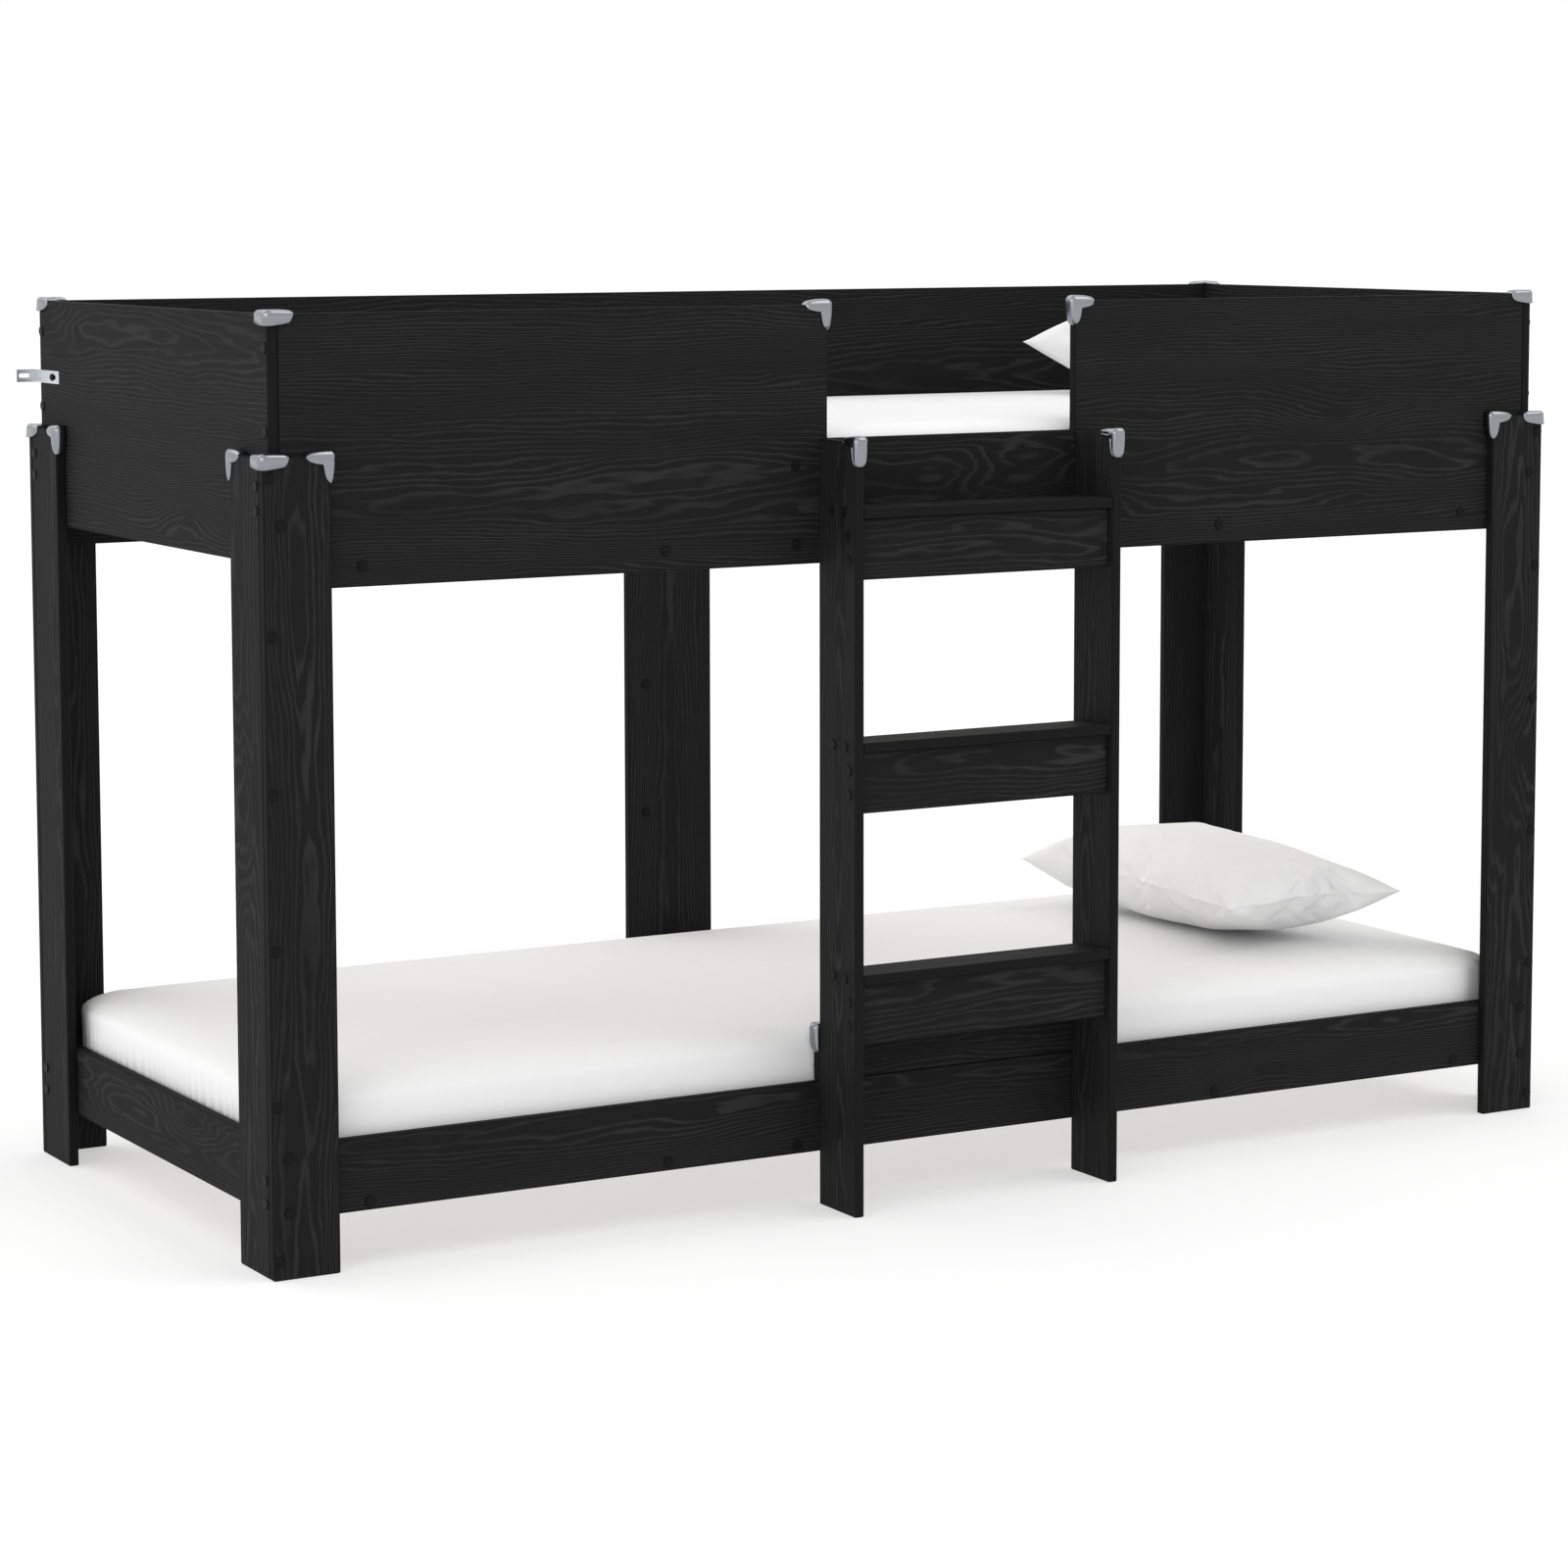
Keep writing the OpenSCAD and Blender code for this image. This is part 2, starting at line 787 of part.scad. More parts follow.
module upper_mattress() { mattress(upper_mattress_z); }
module lower_mattress() { mattress(lower_mattress_z); }
module upper_pillow() { pillow(upper_mattress_z + mattress_h); }
module lower_pillow() { pillow(lower_mattress_z + mattress_h); }

// ---- nodes ----

at_corner(-1, -1) post_face_board();  // post_front_left_face
at_corner(-1, -1) post_side_board();  // post_front_left_side
at_corner(1, -1) post_face_board();  // post_front_right_face
at_corner(1, -1) post_side_board();  // post_front_right_side
at_corner(-1, 1) post_face_board();  // post_rear_left_face
at_corner(-1, 1) post_side_board();  // post_rear_left_side
at_corner(1, 1) post_face_board();  // post_rear_right_face
at_corner(1, 1) post_side_board();  // post_rear_right_side
post_rear_middle();
upper_panel_front();
upper_panel_rear();
upper_panel_left();
upper_panel_right();
lower_rail_front();
lower_rail_rear();
lower_rail_left();
lower_rail_right();
raised_board();
raised_board_dowels();
upper_ledger_front();
upper_ledger_rear();
lower_ledger_front();
lower_ledger_rear();
upper_slats();
lower_slats();
upper_slat_screws();
lower_slat_screws();
ladder_stile_left();
ladder_stile_right();
ladder_tread_low();
ladder_tread_middle();
ladder_tread_high();
ladder_apron_low();
ladder_apron_middle();
ladder_apron_high();
post_edge_screws();
end_edge_screws();
post_side_screws();
panel_corner_screws();
upper_ledger_screws();
lower_ledger_screws();
tread_screws();
ladder_fixing_screws();
middle_post_screws();
spare_hole_caps();
panel_corner_guards();
post_corner_guards();
post_board_guards();
notch_guards();
ladder_guards();
raised_board_guards();
wall_bracket_left();
wall_bracket_right();
bracket_screws();
upper_mattress();
lower_mattress();
upper_pillow();
lower_pillow();
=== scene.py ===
"""Low bunk bed with a ladder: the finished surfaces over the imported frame.

Every board, guard, mattress and pillow is built here as a surface worked out from the frame's own boxes.
The file is laid out as an add-on and is run as a script.
"""

import bmesh
import bpy
import numpy as np
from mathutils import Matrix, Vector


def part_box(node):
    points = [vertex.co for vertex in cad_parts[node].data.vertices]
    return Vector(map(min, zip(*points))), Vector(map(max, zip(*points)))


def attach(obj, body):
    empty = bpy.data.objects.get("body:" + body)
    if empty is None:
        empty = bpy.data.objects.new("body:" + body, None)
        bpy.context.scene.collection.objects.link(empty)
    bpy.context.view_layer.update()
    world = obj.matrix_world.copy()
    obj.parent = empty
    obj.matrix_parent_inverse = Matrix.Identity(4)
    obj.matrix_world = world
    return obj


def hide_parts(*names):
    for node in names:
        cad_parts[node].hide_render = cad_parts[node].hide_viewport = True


bl_info = {
    "name": "Bunk Bed Finisher",
    "version": (1, 0, 0),
    "blender": (4, 5, 0),
    "location": "View3D > Sidebar > Bunk Bed",
    "description": "Builds the boards, guards and bedding of a low bunk bed",
    "category": "Object",
}

MM = 0.001
X, Y, Z = 0, 1, 2

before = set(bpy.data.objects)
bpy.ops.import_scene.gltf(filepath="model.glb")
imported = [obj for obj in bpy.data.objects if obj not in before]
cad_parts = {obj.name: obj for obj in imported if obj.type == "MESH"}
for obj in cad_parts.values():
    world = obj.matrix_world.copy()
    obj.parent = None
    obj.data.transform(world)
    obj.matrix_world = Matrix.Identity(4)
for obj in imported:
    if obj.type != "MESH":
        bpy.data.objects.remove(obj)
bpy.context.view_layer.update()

BERTHS = ("upper", "lower")
DEPTHS = ("front", "rear")
SIDES = ("left", "right")
POSTS = [f"post_{depth}_{side}_{board}" for depth in DEPTHS for side in SIDES for board in ("face", "side")]
PANELS = [f"upper_panel_{place}" for place in DEPTHS + SIDES]
RAILS = [f"lower_rail_{place}" for place in DEPTHS + SIDES]
LADDER = [f"ladder_stile_{side}" for side in SIDES] + [
    f"ladder_{board}_{height}" for board in ("tread", "apron") for height in ("low", "middle", "high")]
LEDGERS = [f"{berth}_ledger_{depth}" for berth in BERTHS for depth in DEPTHS]
SLATS = [f"{berth}_slats" for berth in BERTHS]


def box_of(node):
    """A frame node's lowest and highest corners, as arrays."""
    return tuple(np.array(corner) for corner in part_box(node))


# ---- sizes and colours that a user would change ----


class BunkSizes(bpy.types.PropertyGroup):
    edge_round: bpy.props.FloatProperty(
        name="Edge rounding", description="Radius of the eased edges of every board",
        default=2.2 * MM, min=0.5 * MM, max=5 * MM, subtype="DISTANCE", unit="LENGTH")
    end_round: bpy.props.FloatProperty(
        name="Corner rounding", description="Radius of a board's corners, seen on its face",
        default=2.6 * MM, min=0.5 * MM, max=8 * MM, subtype="DISTANCE", unit="LENGTH")
    ring_width: bpy.props.FloatProperty(
        name="Ring width", description="Distance between two growth rings of the pine",
        default=4.8 * MM, min=2 * MM, max=15 * MM, subtype="DISTANCE", unit="LENGTH")
    guard_arm: bpy.props.FloatProperty(
        name="Guard arm", description="Length of a guard's arms along the edges of its board",
        default=33 * MM, min=20 * MM, max=40 * MM, subtype="DISTANCE", unit="LENGTH")
    wing_length: bpy.props.FloatProperty(
        name="Guard wing", description="Length of the wings on the wide guards",
        default=35 * MM, min=20 * MM, max=45 * MM, subtype="DISTANCE", unit="LENGTH")
    mattress_round: bpy.props.FloatProperty(
        name="Mattress rounding", description="Radius of a mattress's long edges",
        default=26 * MM, min=8 * MM, max=50 * MM, subtype="DISTANCE", unit="LENGTH")
    pillow_width: bpy.props.FloatProperty(
        name="Pillow width", description="Cut width of the pillow case",
        default=385 * MM, min=0.25, max=0.6, subtype="DISTANCE", unit="LENGTH")
    pillow_length: bpy.props.FloatProperty(
        name="Pillow length", description="Cut length of the pillow case",
        default=620 * MM, min=0.35, max=0.9, subtype="DISTANCE", unit="LENGTH")


class BunkColours(bpy.types.PropertyGroup):
    stain: bpy.props.StringProperty(
        name="Stain", description="Black stain between the growth rings", default="#1A1A1B")
    ring: bpy.props.StringProperty(
        name="Rings", description="Hard rings that the stain leaves greyer", default="#2C2C2D")
    pine: bpy.props.StringProperty(
        name="Raw pine", description="Bare pine of the slat bases", default="#D9D0BF")
    pine_ring: bpy.props.StringProperty(
        name="Raw pine rings", description="Growth rings of the bare pine", default="#C4B599")
    guard: bpy.props.StringProperty(
        name="Guards", description="Satin metal of the corner guards", default="#8E9196")
    cotton: bpy.props.StringProperty(
        name="Cotton", description="White cotton of the bedding", default="#E6E6E6")
    floor: bpy.props.StringProperty(
        name="Floor", description="Pale studio floor", default="#FCFCFC")


# ---- meshes ----


def unit(axis, sign=1.0):
    """Unit vector along one row axis."""
    v = np.zeros(3)
    v[axis] = sign
    return v


def new_piece(name, points, faces, material, body, node):
    """Makes a mesh object from points (n, 3) and a list of faces, hangs it on its body's empty and hides the
    frame node that it stands in for.
    """
    mesh = bpy.data.meshes.new(name)
    mesh.from_pydata(np.asarray(points, float).reshape(-1, 3).tolist(), [], faces)
    mesh.validate()
    mesh.shade_smooth()
    mesh.materials.append(material)
    piece = bpy.data.objects.new(name, mesh)
    bpy.context.scene.collection.objects.link(piece)
    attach(piece, body)
    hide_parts(node)
    return piece


def flatten_normals(piece):
    """Weights the normals by face area, so that broad flats stay flat beside their small roundings."""
    weighted = piece.modifiers.new("flat_faces", "WEIGHTED_NORMAL")
    weighted.mode = "FACE_AREA"
    weighted.keep_sharp = True


def grid_faces(rows, columns, wrap=False, start=0, flip=False):
    """Quads between neighbouring rows of a grid of points. With wrap, the last column joins the first."""
    r = np.arange(rows - 1)[:, None] * columns
    c = np.arange(columns if wrap else columns - 1)[None, :]
    n = (c + 1) % columns
    quads = np.stack([r + c, r + n, r + columns + n, r + columns + c], axis=-1).reshape(-1, 4) + start
    return (quads[:, ::-1] if flip else quads).tolist()


def soft_outline(corners, radius, steps=4):
    """Outline through right-angled corners, given anticlockwise, with each one rounded.

    A corner between the directions d0 and d1 becomes the quarter circle about corner - r d0 + r d1, from
    the bearing -d1 to the bearing d0. Returns the points and their outward normals; at an inner corner
    the normal points to the circle's centre.
    """
    corners = np.asarray(corners, float)
    side = np.roll(corners, -1, axis=0) - corners
    after = side / np.linalg.norm(side, axis=1, keepdims=True)
    before = np.roll(after, 1, axis=0)
    turn = np.sign(before[:, 0] * after[:, 1] - before[:, 1] * after[:, 0])
    centre = corners - radius * before + radius * after
    a = np.linspace(0, np.pi / 2, steps)[None, :, None]
    bearing = -after[:, None, :] * np.cos(a) + before[:, None, :] * np.sin(a)
    points = centre[:, None, :] + radius * bearing
    normals = bearing * turn[:, None, None]
    return points.reshape(-1, 2), normals.reshape(-1, 2)


def board_surface(corners, thickness, edge, corner, steps=4):
    """Closed board with eased edges: rings of one outline, each inset and set back along a quarter circle.

    Ring k lies inset by r (1 - sin a) at the depth r (1 - cos a) from its face, for a from 0 to a right
    angle, and the far face is the mirror image. Returns points (outline plane, depth) and faces, of which
    the last two are the broad ones.
    """
    outline, normals = soft_outline(corners, corner)
    a = np.linspace(0, np.pi / 2, steps + 1)
    inset = edge * (1 - np.sin(a))
    depth = edge * (1 - np.cos(a))
    inset = np.concatenate([inset, inset[::-1]])
    depth = np.concatenate([depth, thickness - depth[::-1]])
    flat = outline[None] - normals[None] * inset[:, None, None]
    points = np.concatenate([flat, np.broadcast_to(depth[:, None, None], flat.shape[:2] + (1,))], axis=2)
    rings, count = points.shape[:2]
    faces = grid_faces(rings, count, wrap=True)
    faces.append(list(range(count))[::-1])
    faces.append(list(range((rings - 1) * count, rings * count)))
    return points.reshape(-1, 3), faces


def place_board(low, high, corners=None, edge=None):
    """Board that fills a box of the row frame, its length along the longest side and its thickness along the
    shortest. Returns row points, faces and (along, across, deep) places."""
    sizes = bpy.context.scene.bunk_sizes
    span = np.array(high, float) - np.array(low, float)
    axes = np.argsort(-span, kind="stable")
    along, across, deep = axes
    if corners is None:
        corners = [(0, 0), (span[along], 0), (span[along], span[across]), (0, span[across])]
    local, faces = board_surface(corners, span[deep], edge or sizes.edge_round, sizes.end_round)
    points = np.empty_like(local)
    points[:, axes] = local
    points += low
    if np.linalg.det(np.eye(3)[axes]) < 0:
        faces = [f[::-1] for f in faces]
    return points, faces, local


# Where a board is cut from its log: how far along it, where the heart lies across the board in board widths,
# and how far out from the heart its face is.
CUT_ALONG, CUT_ACROSS, CUT_DEEP = (0, 40), (-1.0, -0.2), (15 * MM, 60 * MM)


def make_boards(node, boxes, material, seed, outlines=None, edge=None):
    """One piece of one or more boards, with the places that its wood grain is drawn from.

    Each board is cut from its own log: its grain places are its own places moved by a seeded distance
    along the log, across the log's heart and out from it.
    """
    random = np.random.default_rng(seed)
    points, faces, grain, planed, start = [], [], [], [], 0
    for k, (low, high) in enumerate(boxes):
        p, f, local = place_board(low, high, outlines[k] if outlines else None, edge)
        width = local[:, 1].max()
        shift = [random.uniform(*CUT_ALONG), random.uniform(*CUT_ACROSS) * width, random.uniform(*CUT_DEEP)]
        points.append(p)
        grain.append(local + shift)
        planed.append(np.concatenate([np.ones(len(f) - 2), np.zeros(2)]))
        faces += [[i + start for i in face] for face in f]
        start += len(p)
    piece = new_piece(f"{node}_wood", np.concatenate(points), faces, material, "frame", node)
    grain_attribute = piece.data.attributes.new("grain", "FLOAT_VECTOR", "POINT")
    grain_attribute.data.foreach_set("vector", np.concatenate(grain).astype(np.float32).ravel())
    planed_attribute = piece.data.attributes.new("planed", "FLOAT", "FACE")
    planed_attribute.data.foreach_set("value", np.concatenate(planed).astype(np.float32))
    flatten_normals(piece)


# ---- materials ----


# The colour sockets of a Mix node: its factor, its two colours and its result.
FACTOR, FIRST, SECOND, MIXED = 0, 6, 7, 2


def linear(hex_colour):
    """An sRGB hex colour as the linear colour that a shader takes."""
    value = np.array([int(hex_colour[i:i + 2], 16) for i in (1, 3, 5)]) / 255
    flat = np.where(value <= 0.04045, value / 12.92, ((value + 0.055) / 1.055) ** 2.4)
    return (*flat.tolist(), 1.0)


def fill(tree, node, inputs):
    """Fills a node's inputs, by name or in order, with values or with other nodes' outputs."""
    for name, value in (inputs.items() if isinstance(inputs, dict) else enumerate(inputs)):
        if isinstance(value, bpy.types.NodeSocket):
            tree.links.new(value, node.inputs[name])
        else:
            node.inputs[name].default_value = value


def add(tree, kind, inputs=(), output=0, **settings):
    """Adds a node with its settings and its inputs, and returns one of its outputs."""
    node = tree.nodes.new(f"ShaderNode{kind}")
    for name, value in settings.items():
        setattr(node, name, value)
    fill(tree, node, inputs)
    return node.outputs[output]


def shader(name):
    """A new material, its node tree and its Principled shader."""
    material = bpy.data.materials.new(name)
    material.use_nodes = True
    tree = material.node_tree
    return material, tree, tree.nodes["Principled BSDF"]


def sawn_pine(name, ground, ring, edge_tone, contrast, roughness, gloss, relief):
    """Sawn pine. Growth rings are cylinders about the log's heart, cut by the board's face, so a board
    near the heart shows arches and one far from it shows stripes. Knots push the rings aside. The narrow,
    planed faces are drawn in a darker tone and smoother than the brushed faces."""
    material, tree, surface = shader(name)
    ring_width = bpy.context.scene.bunk_sizes.ring_width
    grain = add(tree, "Attribute", output="Vector", attribute_name="grain")
    planed = add(tree, "Attribute", output="Fac", attribute_name="planed")

    # Noise drawn out along the log, in waves to a metre along it and across it. The trunk sways over 0.7 m,
    # fibres are streaks about 1.6 mm wide and 60 mm long, and the stain takes in patches 45 mm wide.
    sway, fibre, patch = (
        add(tree, "TexNoise", {
            "Vector": add(tree, "VectorMath", (grain, (along, across, across)), operation="MULTIPLY"),
            "Scale": 1.0, "Detail": detail, "Roughness": rough}, "Fac")
        for along, across, detail, rough in ((1.5, 9, 4, 0.5), (16, 620, 3, 0.6), (2.5, 22, 2, 0.5)))

    # Knots: one at most in each cell of 0.5 x 0.16 m, and none in most cells. Their reach is in cells.
    cell_length, cell_width, empty_cells = 0.5, 0.16, 0.62
    bulge_reach, heart_start, heart_end = 0.34, 0.03, 0.075
    cell = add(tree, "VectorMath", (grain, (1 / cell_length, 1 / cell_width, 0)), operation="MULTIPLY")
    from_knot = add(tree, "TexVoronoi", {"Vector": cell, "Scale": 1.0, "Randomness": 0.9}, "Distance",
                    voronoi_dimensions="2D", feature="F1")
    lot = add(tree, "SeparateColor", (from_knot.node.outputs["Color"],))
    chosen = add(tree, "Math", (lot, empty_cells), operation="GREATER_THAN")
    knot_bulge = add(tree, "MapRange", (from_knot, 0.0, bulge_reach, chosen, 0.0),
                     interpolation_type="SMOOTHSTEP")
    knot_heart = add(tree, "MapRange", (from_knot, heart_start, heart_end, chosen, 0.0),
                     interpolation_type="SMOOTHSTEP")

    # Rings: distance from the heart, with the trunk's sway and the knots' bulge, over the ring width. The
    # hard late wood grows over 0.45 to 0.8 of a ring and ends over its last 0.16.
    sway_size, bulge_size = 75 * MM, 22 * MM
    cross_cut = add(tree, "VectorMath", (grain, (0, 1, 1)), operation="MULTIPLY")
    pushed = add(tree, "VectorMath", (cross_cut,), "Value", operation="LENGTH")
    pushed = add(tree, "Math", (sway, sway_size, pushed), operation="MULTIPLY_ADD")
    pushed = add(tree, "Math", (knot_bulge, bulge_size, pushed), operation="MULTIPLY_ADD")
    rings = add(tree, "Math", (pushed, ring_width), operation="DIVIDE")
    phase = add(tree, "Math", (rings,), operation="FRACT")
    late = add(tree, "MapRange", (phase, 0.45, 0.8, 0.0, 1.0), interpolation_type="SMOOTHSTEP")
    late = add(tree, "MapRange", (phase, 0.84, 1.0, late, 0.0), interpolation_type="SMOOTHSTEP")

    # Tone: rings at the patch's strength, half as strong streaks about nought, and darker knot hearts.
    faintest, streak, heart_tone, edge_share = 0.35, 0.5, -0.6, 0.35
    strength = add(tree, "MapRange", (patch, 0.25, 0.75, faintest * contrast, contrast),
                   interpolation_type="SMOOTHSTEP")
    tone = add(tree, "Math", (fibre, streak * contrast, -streak / 2 * contrast), operation="MULTIPLY_ADD")
    tone = add(tree, "Math", (late, strength, tone), operation="MULTIPLY_ADD")
    tone = add(tree, "Math", (knot_heart, heart_tone, tone), operation="MULTIPLY_ADD", use_clamp=True)
    edge_factor = add(tree, "Math", (tone, edge_share), operation="MULTIPLY")
    face = add(tree, "Mix", {FACTOR: tone, FIRST: linear(ground), SECOND: linear(ring)}, MIXED,
               data_type="RGBA")
    edge = add(tree, "Mix", {FACTOR: edge_factor, FIRST: linear(edge_tone), SECOND: linear(ground)}, MIXED,
               data_type="RGBA")
    colour = add(tree, "Mix", {FACTOR: planed, FIRST: face, SECOND: edge}, MIXED, data_type="RGBA")

    # Relief: brushing leaves the late wood and the fibres proud, and planing takes 0.7 of that away.
    brushed, planed_away, fibre_relief, fibre_roughness = 0.6, 0.7, 0.8, 0.12
    height = add(tree, "Math", (fibre, fibre_relief, late), operation="MULTIPLY_ADD")
    depth = add(tree, "Math", (planed, -planed_away * brushed, brushed), operation="MULTIPLY_ADD")
    fill(tree, surface, {
        "Base Color": colour,
        "Roughness": add(tree, "Math", (fibre, fibre_roughness, roughness), operation="MULTIPLY_ADD"),
        "Normal": add(tree, "Bump", {"Height": height, "Strength": depth, "Distance": relief}),
        "Specular IOR Level": gloss})
    return material


def satin_metal(name, hex_colour, roughness):
    """Metal with a satin finish, bright, with slightly uneven gloss from the tumbling. Its gloss is mottled
    6 mm apart, and its grit, too fine to show, is drawn 0.7 mm apart."""
    material, tree, surface = shader(name)
    mottles_per_metre, grits_per_metre, uneven = 160.0, 1400.0, 0.1
    place = add(tree, "TexCoord", output="Object")
    mottle = add(tree, "TexNoise", {"Vector": place, "Scale": mottles_per_metre, "Detail": 2.0}, "Fac")
    grit = add(tree, "TexNoise", {"Vector": place, "Scale": grits_per_metre, "Detail": 2.0}, "Fac")
    fill(tree, surface, {
        "Base Color": linear(hex_colour),
        "Metallic": 1.0,
        "Roughness": add(tree, "Math", (mottle, uneven, roughness - uneven / 2), operation="MULTIPLY_ADD"),
        "Normal": add(tree, "Bump", {"Height": grit, "Strength": 0.12, "Distance": 0.1 * MM})})
    return material


def moulded_black(name, hex_colour, roughness):
    """Black moulded nylon: faint grit about 1 mm apart, which spreads its soft highlight."""
    material, tree, surface = shader(name)
    grits_per_metre, uneven = 900.0, 0.08
    place = add(tree, "TexCoord", output="Object")
    grit = add(tree, "TexNoise", {"Vector": place, "Scale": grits_per_metre, "Detail": 2.0}, "Fac")
    fill(tree, surface, {
        "Base Color": linear(hex_colour),
        "Roughness": add(tree, "Math", (grit, uneven, roughness), operation="MULTIPLY_ADD"),
        "Normal": add(tree, "Bump", {"Height": grit, "Strength": 0.2, "Distance": 0.1 * MM}),
        "Specular IOR Level": 0.07})
    return material


def woven_cotton(name, hex_colour):
    """Plain-woven cotton: threads 0.4 mm apart are too fine to show, so the weave is drawn 2.4 mm apart, as
    the sum of three sines. Slubs are 22 mm apart and soft creases 140 mm apart. A faint sheen at grazing
    angles comes from its fibre ends."""
    material, tree, surface = shader(name)
    thread_spacing, slubs_per_metre, creases_per_metre = 2.4 * MM, 45.0, 7.0
    place = add(tree, "TexCoord", output="Object")
    turns = add(tree, "VectorMath", (place, (2 * np.pi / thread_spacing,) * 3), operation="MULTIPLY")
    waves = add(tree, "VectorMath", (turns,), operation="SINE")
    weave = add(tree, "VectorMath", (waves, (1, 1, 1)), "Value", operation="DOT_PRODUCT")
    slub = add(tree, "TexNoise", {"Vector": place, "Scale": slubs_per_metre, "Detail": 3.0,
                                  "Roughness": 0.6}, "Fac")
    crease = add(tree, "TexNoise", {"Vector": place, "Scale": creases_per_metre, "Detail": 2.0,
                                    "Distortion": 0.6}, "Fac")
    height = 0.0
    for pattern, weight in ((weave, 0.03), (slub, 0.4), (crease, 1.6)):
        height = add(tree, "Math", (pattern, weight, height), operation="MULTIPLY_ADD")
    shade = add(tree, "MapRange", (slub, 0.2, 0.8, 0.985, 1.0), interpolation_type="SMOOTHSTEP")
    fill(tree, surface, {
        "Base Color": add(tree, "HueSaturation", {"Color": linear(hex_colour), "Value": shade}),
        "Normal": add(tree, "Bump", {"Height": height, "Strength": 0.35, "Distance": 1.2 * MM}),
        "Roughness": 0.92,
        "Specular IOR Level": 0.15,
        "Sheen Weight": 0.08})
    return material


def matte_floor(name, hex_colour):
    """Seamless studio paper, quite matte, with a faint fibre. Half of its white is light that comes through
    it from behind, so that what stands on it throws only a faint shade."""
    material, tree, surface = shader(name)
    lit_through, fibres_per_metre = 0.5, 300.0
    paper = linear(hex_colour)
    place = add(tree, "TexCoord", output="Object")
    fibre = add(tree, "TexNoise", {"Vector": place, "Scale": fibres_per_metre, "Detail": 2.0}, "Fac")
    fill(tree, surface, {
        "Base Color": (*((1 - lit_through) * part for part in paper[:3]), 1.0),
        "Normal": add(tree, "Bump", {"Height": fibre, "Strength": 0.05, "Distance": 0.1 * MM}),
        "Roughness": 1.0,
        "Specular IOR Level": 0.0,
        "Emission Color": paper,
        "Emission Strength": lit_through})
    return material


def beech():
    """Turned beech dowel: short pale fibres on a warm ground, about 1 mm wide and 17 mm long."""
    material, tree, surface = shader("turned_beech")
    place = add(tree, "TexCoord", output="Object")
    drawn_out = add(tree, "VectorMath", (place, (900.0, 900.0, 60.0)), operation="MULTIPLY")
    fleck = add(tree, "TexNoise", {"Vector": drawn_out, "Scale": 1.0, "Detail": 2.0}, "Fac")
    fill(tree, surface, {
        "Base Color": add(tree, "Mix", {FACTOR: fleck, FIRST: linear("#D8B48A"), SECOND: linear("#B98C5E")},
                          MIXED, data_type="RGBA"),
        "Roughness": 0.6})
    return material


def stained_pine():
    """Solid pine, brushed and stained black. The soft wood drinks the stain and the hard rings stay greyer."""
    name = "black_stained_brushed_pine"
    if name not in bpy.data.materials:
        colours = bpy.context.scene.bunk_colours
        sawn_pine(name, colours.stain, colours.ring, "#161616", contrast=1.0, roughness=0.6, gloss=0.06,
                  relief=0.5 * MM)
    return bpy.data.materials[name]


def raw_pine():
    """Bare planed pine, pale with honey-coloured rings."""
    name = "bare_planed_pine"
    if name not in bpy.data.materials:
        colours = bpy.context.scene.bunk_colours
        sawn_pine(name, colours.pine, colours.pine_ring, colours.pine, contrast=0.9, roughness=0.55,
                  gloss=0.35, relief=0.2 * MM)
    return bpy.data.materials[name]


# ---- pieces ----


def notched(low, high):
    """Outline of the front panel: its box with the entry notch, which is as wide as the ladder's clear gap
    and as deep as the panel stands above the stiles."""
    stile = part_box("ladder_stile_left")[1]
    left, right, floor = stile[X] - low[X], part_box("ladder_stile_right")[0][X] - low[X], stile[Z] - low[Z]
    length, height = high[X] - low[X], high[Z] - low[Z]
    return [(0, 0), (length, 0), (length, height), (right, height), (right, floor), (left, floor),
            (left, height), (0, height)]


class OBJECT_OT_bunk_boards(bpy.types.Operator):
    """Builds the posts, panels, rails and the raised board as eased, black-stained boards"""
    bl_idname = "object.bunk_boards"
    bl_label = "Boards"

    def execute(self, context):
        wood = stained_pine()
        nodes = POSTS + ["post_rear_middle"] + PANELS + RAILS + ["raised_board"]
        for seed, node in enumerate(nodes, start=100):
            low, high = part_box(node)
            outline = [notched(low, high)] if node == "upper_panel_front" else None
            make_boards(node, [(low, high)], wood, seed, outline)
        return {"FINISHED"}


class OBJECT_OT_bunk_ladder(bpy.types.Operator):
    """Builds the ladder's stiles, treads and aprons as eased, black-stained boards"""
    bl_idname = "object.bunk_ladder"
    bl_label = "Ladder"

    def execute(self, context):
        wood = stained_pine()
        for seed, node in enumerate(LADDER, start=200):
            make_boards(node, [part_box(node)], wood, seed)
        return {"FINISHED"}


def solids_of(node):
    """Boxes of the separate solids in a frame node: each corner takes the lowest label that its triangles
    reach, until nothing changes."""
    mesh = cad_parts[node].data
    points = np.empty(len(mesh.vertices) * 3, np.float32)
    mesh.vertices.foreach_get("co", points)
    points = points.reshape(-1, 3)
    corners = np.empty(len(mesh.loops), np.int32)
    mesh.loops.foreach_get("vertex_index", corners)
    _, shared = np.unique(np.round(points / (0.01 * MM)).astype(np.int64), axis=0, return_inverse=True)
    shared = shared.ravel()
    triangles = shared[corners].reshape(-1, 3)
    label = np.arange(shared.max() + 1)
    while True:
        lowest = label[triangles].min(axis=1)
        spread = label.copy()
        np.minimum.at(spread, triangles.ravel(), np.repeat(lowest, 3))
        spread = spread[spread]
        if (spread == label).all():
            break
        label = spread
    of_point = label[shared]
    return [(points[of_point == i].min(axis=0), points[of_point == i].max(axis=0)) for i in np.unique(of_point)]


